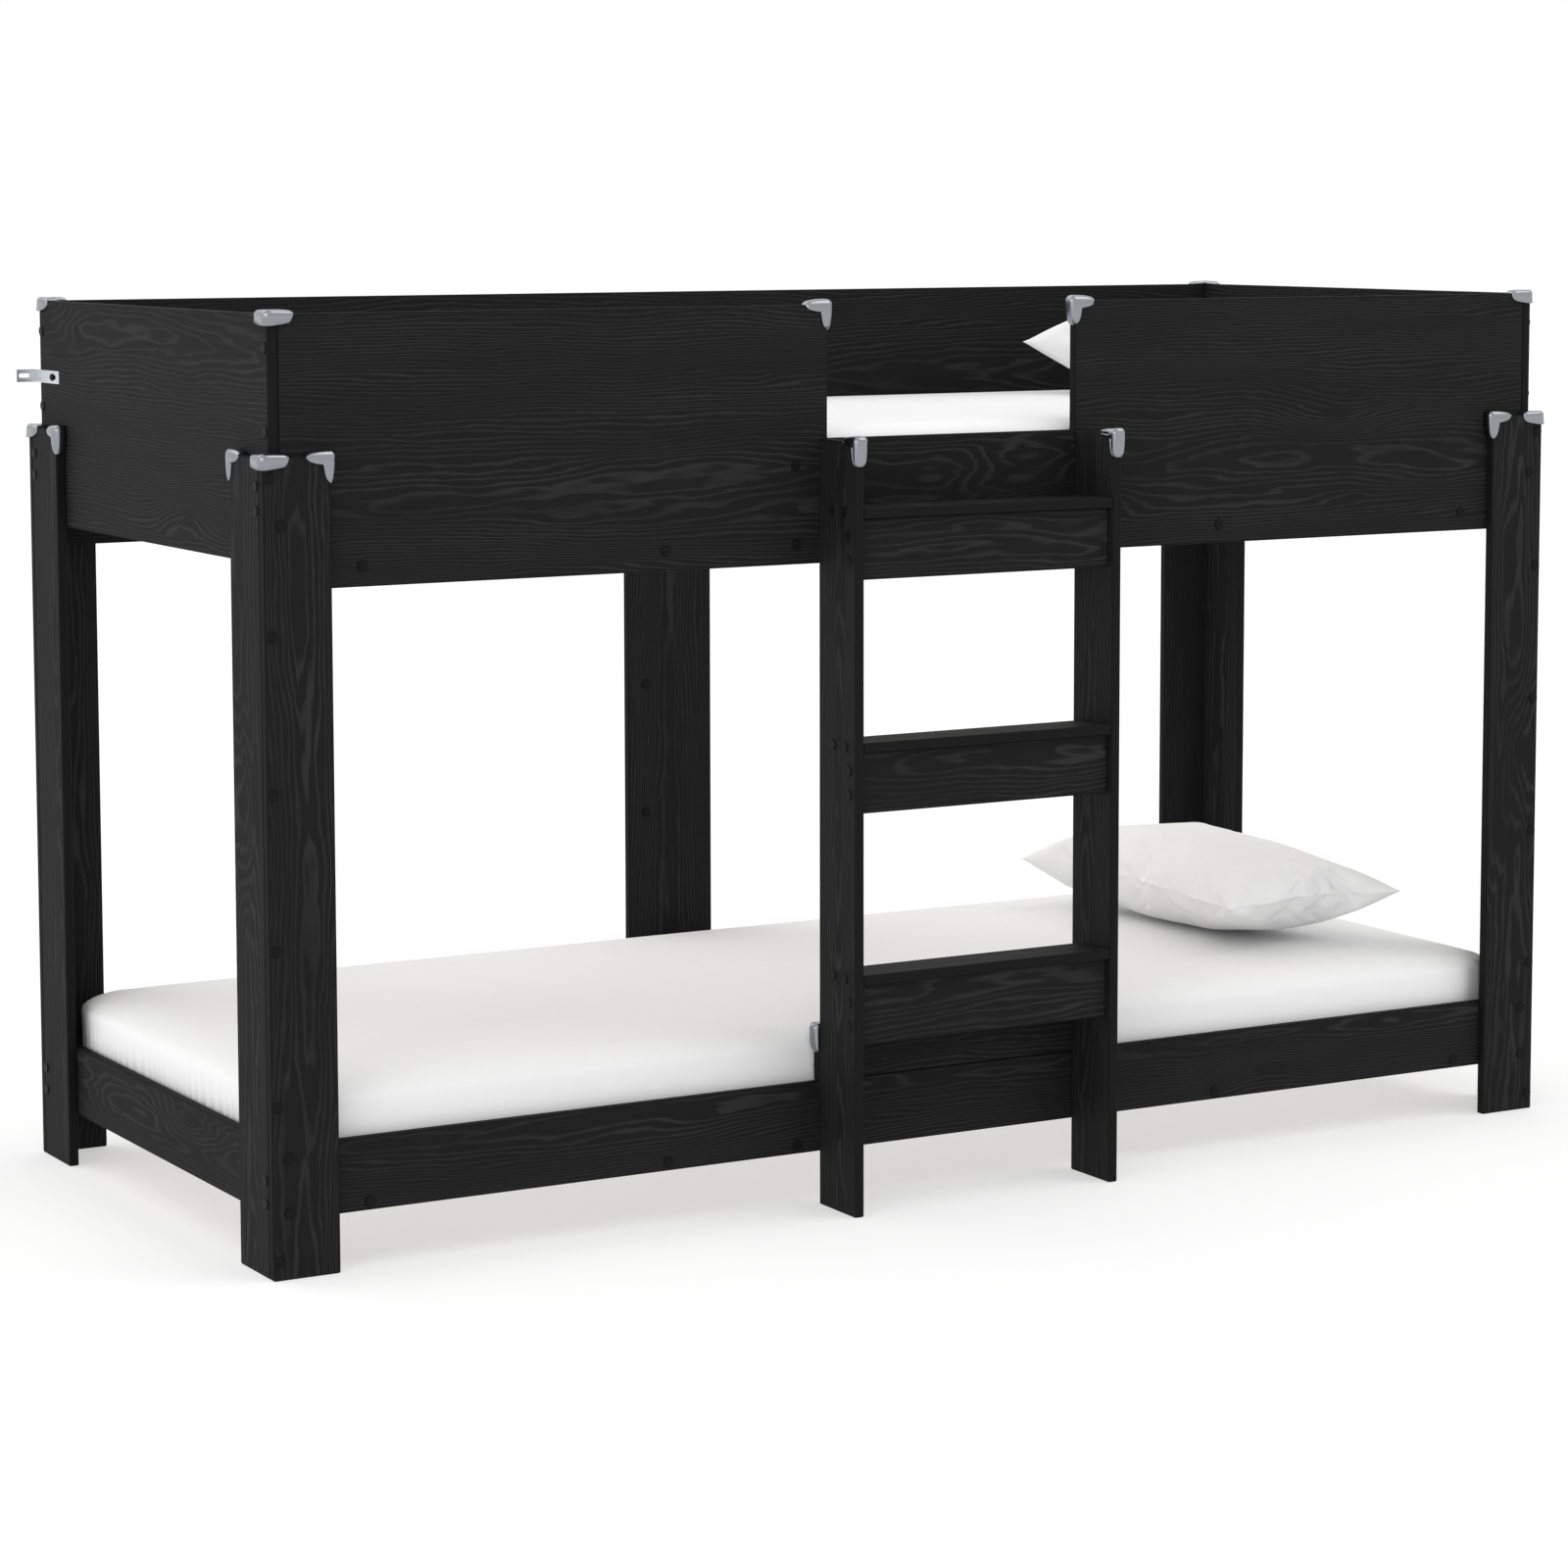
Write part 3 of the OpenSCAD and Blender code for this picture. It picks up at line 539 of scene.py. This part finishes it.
class OBJECT_OT_bunk_slat_bases(bpy.types.Operator):
    """Builds the black-stained ledgers and the bare, planed slats"""
    bl_idname = "object.bunk_slat_bases"
    bl_label = "Slat bases"

    def execute(self, context):
        for seed, node in enumerate(LEDGERS, start=300):
            make_boards(node, [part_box(node)], stained_pine(), seed)
        for seed, node in enumerate(SLATS, start=310):
            make_boards(node, solids_of(node), raw_pine(), seed, edge=1.5 * MM)
        return {"FINISHED"}


# ---- corner guards ----


# Sizes of the castings: first of all of them, then of those on a board's edge, and then of the winged ones on
# closed corners. A pair is the size at the vertex and the size at the tips.
GUARD_TIP = 7 * MM
CAST_WALL = 1.2 * MM
EDGE_PLATE = 3.4 * MM
EDGE_BULGE = (6.5 * MM, 2.5 * MM)
EDGE_COVER = (9.5 * MM, 3.5 * MM)
LADDER_COVER = (5 * MM, 1.5 * MM)
EDGE_WEB = 0.8 * MM
WING_WALL = 4.6 * MM
WING_RIM = 4 * MM
WING_HEIGHT = 14 * MM
WING_CORNER_ROUND = 10 * MM
BEHIND_BOARD = 0.1 * MM


def corner_sweep(out, height, stand, arm, turn_steps):
    """Carries a section round a right-angled corner, as a grid of (along p, along q, height).

    The body fills p > 0, q < 0, with its vertex at the origin. Rows run in along the p arm, round the
    vertex and out along the q arm. A row on an arm stands `stand` from the vertex, with its outward
    points at their distance `out` from the edge. Its inboard points (out < 0) are also moved along the arm, by
    -out (1 - stand / arm), so that both arms meet on the diagonal. A row at the vertex turns its outward
    points through a quarter circle.
    """
    shear = np.maximum(-out, 0) * (1 - stand[:, None] / arm)
    p_arm = np.stack([stand[:, None] + shear, out, height], axis=-1)[::-1]
    q_arm = np.stack([-out, -(stand[:, None] + shear), height], axis=-1)
    a = np.linspace(0, np.pi / 2, turn_steps + 2)[1:-1, None]
    first, deep = out[:1], np.minimum(out[:1], 0)
    outward = np.maximum(first, 0)
    turn = np.stack([-outward * np.sin(a) - deep, outward * np.cos(a) + deep,
                     np.broadcast_to(height[:1], (turn_steps, height.shape[1]))], axis=-1)
    return np.concatenate([p_arm, turn, q_arm])


def round_corner(grid, wall, radius):
    """Widens the rounding of a swept corner. Its axis stands radius - wall in from both of the board's faces.
    A point outside the board at distance o from it goes to radius - wall + o from that axis."""
    axis = np.array([radius - wall, wall - radius])
    o = np.hypot(np.maximum(-grid[..., 0], 0), np.maximum(grid[..., 1], 0))
    away = grid[..., :2] - axis
    near = (o > 0) & (away[..., 0] < 0) & (away[..., 1] > 0)
    length = np.maximum(np.linalg.norm(away, axis=-1), 1e-6)
    scale = np.where(near, (radius - wall + o) / length, 1.0)
    grid[..., :2] = axis + away * scale[..., None]
    return grid


def arm_stations(arm, tip, steps=14):
    """Distances from the vertex, closer together near the rounded tip, and the tip's quarter-ellipse fall."""
    stand = np.concatenate([np.linspace(0, arm - tip, steps, endpoint=False),
                            arm - tip + tip * np.sin(np.linspace(0, np.pi / 2, steps))])
    reach = np.clip((stand - (arm - tip)) / tip, 0, 1)
    return stand, np.sqrt(np.clip(1 - reach ** 2, 0, 1))


def edge_guard_section(stand, fall, arm, thickness, both, cover):
    """Section of a guard that wraps a board's edge: a lip on the front face, a plate, a rounded shoulder, the
    edge, and the same behind. Bulge, cover and plate fall towards the tips as 1 - (s / arm)^2.6, and a web
    near the vertex fills the inner corner: cover + web exp(-(s / 7 mm)^2). The shoulder's radius is the
    bulge and 0.4 of the cover. A guard that wraps both faces draws in to a tongue at its tips, by closing
    its heights towards the middle of the board."""
    web_reach, tip_plate, shoulder_cover, tongue, short_of_back = 7 * MM, 0.3, 0.4, 0.35, 0.3 * MM
    full = 1 - (stand / arm) ** 2.6
    fillet = EDGE_WEB * np.exp(-(stand / web_reach) ** 2)
    b = ((EDGE_BULGE[1] + (EDGE_BULGE[0] - EDGE_BULGE[1]) * full) * fall)[:, None]
    c = ((cover[1] + (cover[0] - cover[1]) * full + fillet) * fall)[:, None]
    t = (EDGE_PLATE * (tip_plate + (1 - tip_plate) * full) * fall)[:, None]
    a = np.linspace(0, np.pi / 2, 7)[None, :]
    shoulder = b + shoulder_cover * c
    out = [-c + t * (1 - np.cos(a)), b - shoulder + shoulder * np.sin(a)]
    height = [-t * np.sin(a), -t + (t + thickness / 4) * (1 - np.cos(a))]
    if both:
        out += [o[:, ::-1] for o in out[::-1]]
        height += [thickness - h[:, ::-1] for h in height[::-1]]
    else:
        out.append(np.concatenate([b, 0 * b], axis=1))
        height.append(np.full((len(stand), 2), thickness - short_of_back))
    out, height = np.concatenate(out, axis=1), np.concatenate(height, axis=1)
    if both:
        close = tongue + (1 - tongue) * fall[:, None]
        height = thickness / 2 + (height - thickness / 2) * close
    return out, height


def wing_guard_section(stand, fall, arm, thickness):
    """Section of a guard on a closed corner: a lip low on the outer face, up that face, over the top edges
    with a rounded shoulder, and down to the inner face. The outer face leans in by a tenth of its height, as
    castings do. Towards the wing's far end it gets thinner by a quarter of (s / arm)^2, and lower by 0.35 of
    (s / arm)^1.5, and it closes round that end."""
    thinning, lowering, end_height, lean = 0.25, 0.35, 0.45, 0.1
    widest_shoulder, widest_lip, inner = 4.5 * MM, 2.5 * MM, 2.5 * MM
    slim = 1 - thinning * (stand / arm) ** 2
    t, r = (WING_WALL * fall * slim)[:, None], (WING_RIM * fall * slim)[:, None]
    closing = end_height + (1 - end_height) * fall
    low = (-WING_HEIGHT * (1 - lowering * (stand / arm) ** 1.5) * closing)[:, None]
    a = np.linspace(0, np.pi / 2, 9)[None, :]
    shoulder, lip = 0.95 * np.minimum(t + r, widest_shoulder), np.minimum(t, widest_lip)
    out = [t - lip * np.cos(a), t - shoulder + shoulder * np.cos(a),
           inner - thickness - inner * np.sin(a) + 0 * t]
    height = [low + lip - lip * np.sin(a), r - shoulder + shoulder * np.sin(a), r * np.cos(a)]
    for k in (0, 1):
        out[k] = out[k] - lean * (height[k] - low) * fall[:, None]
    return np.concatenate(out, axis=1), np.concatenate(height, axis=1)


def make_guards(node, places, section_of, arm, material, closed=False, covered=np.inf):
    """One piece of several guards. Each place is a vertex and the row directions of p, q and height. A closed
    corner gets a wider rounding at its vertex. Where another board covers the front face, further along p
    than `covered`, the guard keeps behind that face."""
    stand, fall = arm_stations(arm, GUARD_TIP)
    points, faces, start = [], [], 0
    for vertex, p, q, h in places:
        out, height = section_of(stand, fall)
        grid = corner_sweep(out, height, stand, arm, turn_steps=9)
        if closed:
            grid = round_corner(grid, WING_WALL, WING_CORNER_ROUND)
        behind = np.maximum(grid[..., 2], BEHIND_BOARD)
        grid[..., 2] = np.where(grid[..., 0] > covered, behind, grid[..., 2])
        turn = np.stack([p, q, h])
        points.append((grid @ turn + vertex).reshape(-1, 3))
        flip = np.linalg.det(turn) < 0
        faces += grid_faces(grid.shape[0], grid.shape[1], start=start, flip=flip)
        start += grid.shape[0] * grid.shape[1]
    piece = new_piece(f"{node}_metal", np.concatenate(points), faces, material, "frame", node)
    joined = bmesh.new()
    joined.from_mesh(piece.data)
    bmesh.ops.remove_doubles(joined, verts=joined.verts, dist=0.02 * MM)
    bmesh.ops.dissolve_degenerate(joined, edges=joined.edges, dist=0.01 * MM)
    joined.to_mesh(piece.data)
    joined.free()
    wall = piece.modifiers.new("wall", "SOLIDIFY")
    wall.thickness = CAST_WALL
    wall.offset = -1.0


def vertex_of(node, x_end, y_end):
    """A top corner of a node's box: each end is 0 for the low side and 1 for the high side."""
    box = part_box(node)
    return np.array([box[x_end][X], box[y_end][Y], box[1][Z]])


class OBJECT_OT_bunk_guards(bpy.types.Operator):
    """Builds the satin metal guards on the corners of the boards"""
    bl_idname = "object.bunk_guards"
    bl_label = "Corner guards"

    def execute(self, context):
        sizes = context.scene.bunk_sizes
        metal = satin_metal("satin_die_cast_metal", context.scene.bunk_colours.guard, 0.24)
        thickness = np.ptp(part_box("upper_panel_front"), axis=0)[Y]
        up = unit(Z)
        ends = ((0, "left", 1.0), (1, "right", -1.0))
        depths = ((0, "front", 1.0), (1, "rear", -1.0))

        def wing(stand, fall):
            return wing_guard_section(stand, fall, sizes.wing_length, thickness)

        def edge(both, cover=EDGE_COVER):
            return lambda stand, fall: edge_guard_section(stand, fall, sizes.guard_arm, thickness, both, cover)

        for node, board in (("panel_corner_guards", "upper_panel_{side}"),
                            ("post_corner_guards", "post_{place}_{side}_face")):
            corners = [(vertex_of(board.format(place=place, side=side), end, depth),
                        unit(X, sx), unit(Y, -sy), up)
                       for end, side, sx in ends for depth, place, sy in depths]
            make_guards(node, corners, wing, sizes.wing_length, metal, closed=True)

        free = []
        for end, side, sx in ends:
            for depth, place, sy in depths:
                free += [(vertex_of(f"post_{place}_{side}_face", 1 - end, depth), unit(X, -sx), up, unit(Y, sy)),
                         (vertex_of(f"post_{place}_{side}_side", end, 1 - depth), unit(Y, -sy), up, unit(X, sx))]
            free.append((vertex_of("post_rear_middle", end, 1), unit(X, sx), up, unit(Y, -1)))
        make_guards("post_board_guards", free, edge(both=False), sizes.guard_arm, metal)

        low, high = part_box("upper_panel_front")
        notch = [(np.array([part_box(f"ladder_stile_{side}")[1 - end][X], low[Y], high[Z]]),
                  unit(X, -sx), up, unit(Y)) for end, side, sx in ends]
        make_guards("notch_guards", notch, edge(both=True), sizes.guard_arm, metal)

        stiles = [(vertex_of(f"ladder_stile_{side}", 0, 0), unit(Y), up, unit(X)) for side in SIDES]
        make_guards("ladder_guards", stiles, edge(both=True, cover=LADDER_COVER), sizes.guard_arm, metal)

        past_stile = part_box("raised_board")[1][X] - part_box("ladder_stile_right")[1][X]
        raised = [(vertex_of("raised_board", end, 0), unit(X, sx), up, unit(Y)) for end, _, sx in ends]
        make_guards("raised_board_guards", raised, edge(both=True), sizes.guard_arm, metal,
                    covered=past_stile - 0.5 * MM)
        return {"FINISHED"}


class OBJECT_OT_bunk_fasteners(bpy.types.Operator):
    """Gives the screws, cover caps, dowels and wall brackets of the frame their finishes"""
    bl_idname = "object.bunk_fasteners"
    bl_label = "Fasteners and brackets"

    def execute(self, context):
        black = moulded_black("black_moulded_cover_caps", "#131313", 0.42)
        zinc = satin_metal("zinc_plated_steel", "#D2D5DA", 0.34)
        for node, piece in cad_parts.items():
            if node in ("upper_slat_screws", "lower_slat_screws", "wall_bracket_left", "wall_bracket_right"):
                finish = zinc
            elif node.endswith("_screws") or node == "spare_hole_caps":
                finish = black
            elif node == "raised_board_dowels":
                finish = beech()
            else:
                continue
            for slot in piece.material_slots:
                slot.material = finish
        return {"FINISHED"}


# ---- bedding ----


def block_surface(counts):
    """Whole-number places on the surface of a block of counts[0] x counts[1] x counts[2] cells, and its
    quads, with the seams between the six grids shared."""
    quads = []
    for fixed in range(3):
        u, v = (fixed + 1) % 3, (fixed + 2) % 3
        i, j = np.meshgrid(np.arange(counts[u]), np.arange(counts[v]), indexing="ij")
        for level, order in ((0, (0, 3, 2, 1)), (counts[fixed], (0, 1, 2, 3))):
            corner = np.zeros(i.shape + (4, 3), int)
            corner[..., fixed] = level
            for spot, k in enumerate(order):
                corner[..., spot, u] = i + (k in (1, 2))
                corner[..., spot, v] = j + (k in (2, 3))
            quads.append(corner.reshape(-1, 4, 3))
    quads = np.concatenate(quads)
    places, index = np.unique(quads.reshape(-1, 3), axis=0, return_inverse=True)
    return places, index.reshape(-1, 4)


def spread(places, count, near, share):
    """Moves evenly spaced whole-number places along one side of a block to -1..1, with the given share of
    the cells packed into the last `near` part of each end."""
    t = places / count * 2 - 1
    bend = 1 - 2 * share
    middle = t / bend * (1 - near)
    outer = np.sign(t) * (1 - near + (np.abs(t) - bend) / (1 - bend) * near)
    return np.where(np.abs(t) <= bend, middle, outer)


def mattress_surface(half, top_round, end_round):
    """Mattress in a fitted sheet: a block whose points past the inner block are drawn on to a rounding.

    A point is clamped into the inner block, which is smaller by the rounding, and the rest of the way is
    set to that rounding's length: p = c + r (p - c) / |p - c|. The rounding is an ellipsoid, longest along
    the mattress and shortest upwards. The top falls from its middle by 3 mm times 1 - sqrt(cos cos).
    The sheet's gathers are folds that fan out from each upright corner, as 1 + sin(22 a) at the bearing a,
    and fade as exp(-(d / 0.11 m)^2). Along both ends the tucked hem is pleated as |sin|, with a slow sine
    that spaces the pleats unevenly, and the pleats grow deeper towards the bottom. The long sides are slack
    by up to a millimetre, in a product of two sines.
    """
    counts = (130, 220, 22)  # cells along, across and up, with a share of them packed near each end
    crown, fold_depth, folds, fold_reach = 3 * MM, 2.2 * MM, 22, 0.11
    pleat_depth, pleat_width, hem_top, uneven, uneven_waves = 7 * MM, 6.4 * MM, 0.4, 2.6, 23
    slack, slack_waves = 0.5 * MM, (9.0, 3.7)

    places, quads = block_surface(counts)
    near, share = [2.2 * end_round / half[0], 2.2 * end_round / half[1], 0.7], [0.12, 0.2, 0.35]
    t = np.stack([spread(places[:, k], counts[k], near[k], share[k]) for k in range(3)], axis=1)
    point = t * half
    radius = np.array([end_round, 0.6 * end_round, top_round])
    inner = half - radius
    core = np.clip(point, -inner, inner)
    over = (point - core) / radius
    length = np.linalg.norm(over, axis=1, keepdims=True)
    direction = np.divide(over, length, out=np.zeros_like(over), where=length > 0)
    largest = np.abs(over).max(axis=1, keepdims=True)
    soft = core + direction * largest * radius
    up = np.clip(soft[:, 2] / half[2], 0, 1)
    level = np.sqrt(np.cos(soft[:, :2] / half[:2] * np.pi / 2)).prod(axis=1)
    soft[:, 2] -= up * (1 - level) * crown
    from_end, from_side = (half[:2] - np.abs(soft[:, :2])).T
    from_corner = np.hypot(from_end, from_side)
    bearing = np.arctan2(from_side, from_end + 1e-6)
    fold = (1 + np.sin(bearing * folds)) * np.exp(-(from_corner / fold_reach) ** 2) * fold_depth
    hem = np.clip(hem_top - soft[:, 2] / half[2], 0, 1) ** 0.8 * np.abs(direction[:, 0])
    pleat = np.abs(np.sin(soft[:, 1] / pleat_width + uneven * np.sin(soft[:, 1] * uneven_waves)))
    drawn_in = fold + hem * (1 - pleat) * pleat_depth
    side = direction * drawn_in[:, None] * np.array([1, 1, 0.5])
    wave = np.sin(soft[:, 0] * slack_waves[0] + 1.3) * np.sin(soft[:, 0] * slack_waves[1])
    soft[:, 1] -= np.sign(soft[:, 1]) * np.abs(direction[:, 1]) * (1 + 0.8 * wave) * slack
    return soft - side, quads


class OBJECT_OT_bunk_mattresses(bpy.types.Operator):
    """Builds both mattresses in their fitted cotton sheets"""
    bl_idname = "object.bunk_mattresses"
    bl_label = "Mattresses"

    def execute(self, context):
        sizes = context.scene.bunk_sizes
        cotton = woven_cotton("white_cotton_sheet", context.scene.bunk_colours.cotton)
        for berth in BERTHS:
            node = f"{berth}_mattress"
            low, high = box_of(node)
            points, quads = mattress_surface((high - low) / 2, sizes.mattress_round, 3 * sizes.mattress_round)
            piece = new_piece(f"{node}_cover", points + (low + high) / 2, quads.tolist(), cotton,
                              f"{node}_body", node)
        return {"FINISHED"}


def pillow_bag(width, length, cell):
    """Flat pillow case: two sheets sewn along their edges. Each stands off the middle by
    edge + middle (1 - x^2) (1 - y^2), for x and y from -1 to 1 across the case."""
    edge, middle = 1 * MM, 24 * MM
    counts = (round(width / cell), round(length / cell), 1)
    places, quads = block_surface(counts)
    t = places / np.array(counts) * 2 - 1
    thick = edge + middle * (1 - t[:, 0] ** 2) * (1 - t[:, 1] ** 2)
    points = np.stack([t[:, 0] * width / 2, t[:, 1] * length / 2, t[:, 2] * thick], axis=1)
    seam = (np.abs(t[:, 0]) > 0.999) | (np.abs(t[:, 1]) > 0.999)
    return points, quads, seam


def inflate(points, quads, frames, pressure):
    """Blows the bag up as cloth, without gravity, and returns its points after the given frames."""
    mesh = bpy.data.meshes.new("bag")
    mesh.from_pydata(points.tolist(), [], quads.tolist())
    bag = bpy.data.objects.new("bag", mesh)
    scene = bpy.context.scene
    scene.collection.objects.link(bag)
    cloth = bag.modifiers.new("filling", "CLOTH")
    cloth.settings.use_pressure = True
    cloth.settings.uniform_pressure_force = pressure
    cloth.settings.effector_weights.gravity = 0
    cloth.settings.quality = 6
    cloth.settings.mass = 0.15
    cloth.settings.tension_stiffness = 30
    cloth.settings.compression_stiffness = 30
    cloth.settings.shear_stiffness = 8
    cloth.settings.bending_stiffness = 0.02
    cloth.settings.air_damping = 3
    cloth.point_cache.frame_start = 1
    cloth.point_cache.frame_end = frames
    for step in range(1, frames + 1):
        scene.frame_set(step)
    held = bag.evaluated_get(bpy.context.evaluated_depsgraph_get())
    moved = np.empty(len(held.data.vertices) * 3, np.float32)
    held.data.vertices.foreach_get("co", moved)
    bpy.data.objects.remove(bag)
    bpy.data.meshes.remove(mesh)
    scene.frame_set(1)
    return moved.reshape(-1, 3).astype(float)


def centred(points):
    """Points moved so that the middle of their box is at the origin."""
    return points - (points.max(axis=0) + points.min(axis=0)) / 2


def shaped_case(points, seam):
    """The blown-up case with its sewn seam drawn out into a piping and its rim lifted, by a distance that
    grows as the cube of how far out a point is, because the middle sinks under the filling's weight."""
    piping, rim_lift = 2.5 * MM, 9 * MM
    case = centred(points)
    case[seam, :2] *= 1 + piping / np.linalg.norm(case[seam, :2], axis=1, keepdims=True)
    reach = np.abs(case[:, :2]) / case[:, :2].max(axis=0)
    case[:, 2] += rim_lift * reach.max(axis=1) ** 3
    return centred(case)


class OBJECT_OT_bunk_pillows(bpy.types.Operator):
    """Builds both pillows: one case is blown up as cloth, and laid on each mattress"""
    bl_idname = "object.bunk_pillows"
    bl_label = "Pillows"

    def execute(self, context):
        sizes = context.scene.bunk_sizes
        cotton = woven_cotton("white_cotton_pillow_case", context.scene.bunk_colours.cotton)
        points, quads, seam = pillow_bag(sizes.pillow_width, sizes.pillow_length, cell=6.5 * MM)
        points = inflate(points, quads, frames=40, pressure=4.0)
        points = shaped_case(points, seam)
        size = np.ptp(points, axis=0)
        for berth in BERTHS:
            node = f"{berth}_pillow"
            low, high = box_of(node)
            fit = (high - low) / size
            fit[:2] = np.minimum(fit[:2], 1.0)
            piece = new_piece(f"{node}_case", points * fit + (low + high) / 2, quads.tolist(), cotton,
                              f"{node}_body", node)
            finer = piece.modifiers.new("finer", "SUBSURF")
            finer.levels = finer.render_levels = 1
        return {"FINISHED"}


# ---- stage ----


# Each soft sun: where it shines from, how wide it is in degrees, and its strength.
SUNS = {
    "high_left_sun": ((-0.35, 0.6, 0.7), 45, 0.45),
    "left_strip_light": ((-0.83, -0.47, 0.2), 24, 0.38),
    "far_left_strip_light": ((-0.99, 0.1, 0.2), 22, 0.25),
    "overhead_softbox": ((0.5, -0.3, 0.8), 36, 0.5),
}
BERTH_FILL_WATTS = 2.2
# The floor lies a hair under the posts' feet, so that the two surfaces don't share a plane.
FLOOR_REACH, FLOOR_CELLS, FLOOR_DROP = 40.0, 8, 0.2 * MM
# The lens and its sensor in millimetres, its shift in sensor widths, the end of its view in metres, and the
# camera's angles in degrees.
FOCAL_LENGTH, SENSOR_WIDTH, LENS_SHIFT, VIEW_END = 96.57, 36, -0.10, 200
CAMERA_PLACE = (-3.072, -5.273, 1.378)
CAMERA_DIP, CAMERA_ROLL, CAMERA_BEARING = 5.845, 0.099, -29.780


class OBJECT_OT_bunk_stage(bpy.types.Operator):
    """Sets the pale floor, the soft lights and the camera"""
    bl_idname = "object.bunk_stage"
    bl_label = "Floor, light and camera"

    def execute(self, context):
        scene = context.scene
        t = np.linspace(-FLOOR_REACH, FLOOR_REACH, FLOOR_CELLS + 1)
        gx, gy = np.meshgrid(t, t, indexing="xy")
        floor_points = np.stack([gx, gy, np.full_like(gx, -FLOOR_DROP)], axis=-1).reshape(-1, 3)
        mesh = bpy.data.meshes.new("studio_floor")
        mesh.from_pydata(floor_points.tolist(), [], grid_faces(len(t), len(t)))
        mesh.materials.append(matte_floor("seamless_studio_paper", scene.bunk_colours.floor))
        floor = bpy.data.objects.new("studio_floor", mesh)
        scene.collection.objects.link(floor)

        world = bpy.data.worlds.new("white_studio")
        world.use_nodes = True
        sky = world.node_tree.nodes["Background"]
        sky.inputs["Color"].default_value = (1.0, 1.0, 1.0, 1.0)
        sky.inputs["Strength"].default_value = 1.0
        scene.world = world
        scene.view_settings.view_transform = "Standard"

        for name, (source, spread, strength) in SUNS.items():
            self.soft_sun(name, source, spread, strength)
        self.berth_fill()

        lens = bpy.data.cameras.new("camera")
        lens.lens = FOCAL_LENGTH
        lens.sensor_width = SENSOR_WIDTH
        lens.shift_y = LENS_SHIFT
        lens.clip_end = VIEW_END
        camera = bpy.data.objects.new("camera", lens)
        camera.location = CAMERA_PLACE
        camera.rotation_euler = np.radians((90 - CAMERA_DIP, CAMERA_ROLL, CAMERA_BEARING))
        scene.collection.objects.link(camera)
        scene.camera = camera
        return {"FINISHED"}

    def berth_fill(self):
        """A dim soft panel close under the upper slats, which lifts the shade over the lower mattress."""
        low, high = box_of("lower_mattress")
        lamp = bpy.data.lights.new("berth_fill", "AREA")
        lamp.shape = "RECTANGLE"
        lamp.size, lamp.size_y = 0.9 * (high - low)[:2]
        lamp.energy = BERTH_FILL_WATTS
        light = bpy.data.objects.new("berth_fill", lamp)
        light.location = (*((low + high) / 2)[:2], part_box("upper_ledger_front")[0][Z] - 10 * MM)
        light.visible_camera = False
        bpy.context.scene.collection.objects.link(light)

    def soft_sun(self, name, source, spread, strength):
        """A wide, soft sun that shines from the direction of source."""
        lamp = bpy.data.lights.new(name, "SUN")
        lamp.angle = np.radians(spread)
        lamp.energy = strength
        light = bpy.data.objects.new(name, lamp)
        light.rotation_euler = (np.arctan2(np.hypot(source[0], source[1]), source[2]), 0,
                                np.arctan2(source[0], -source[1]))
        bpy.context.scene.collection.objects.link(light)


# ---- add-on ----


STEPS = (OBJECT_OT_bunk_boards, OBJECT_OT_bunk_ladder, OBJECT_OT_bunk_slat_bases, OBJECT_OT_bunk_guards,
         OBJECT_OT_bunk_fasteners, OBJECT_OT_bunk_mattresses, OBJECT_OT_bunk_pillows, OBJECT_OT_bunk_stage)


class VIEW3D_PT_bunk_bed(bpy.types.Panel):
    """Lists the bunk bed's steps, sizes and colours"""
    bl_idname = "VIEW3D_PT_bunk_bed"
    bl_label = "Bunk Bed"
    bl_space_type = "VIEW_3D"
    bl_region_type = "UI"
    bl_category = "Bunk Bed"

    def draw(self, context):
        for step in STEPS:
            self.layout.operator(step.bl_idname, text=step.bl_label)
        for group in (context.scene.bunk_sizes, context.scene.bunk_colours):
            for name in group.__annotations__:
                self.layout.prop(group, name)


CLASSES = (BunkSizes, BunkColours, *STEPS, VIEW3D_PT_bunk_bed)


def register():
    for cls in CLASSES:
        bpy.utils.register_class(cls)
    bpy.types.Scene.bunk_sizes = bpy.props.PointerProperty(type=BunkSizes)
    bpy.types.Scene.bunk_colours = bpy.props.PointerProperty(type=BunkColours)


def unregister():
    del bpy.types.Scene.bunk_colours
    del bpy.types.Scene.bunk_sizes
    for cls in reversed(CLASSES):
        bpy.utils.unregister_class(cls)


def main():
    register()
    for step in STEPS:
        group, call = step.bl_idname.split(".")
        getattr(getattr(bpy.ops, group), call)()


if __name__ == "__main__":
    main()
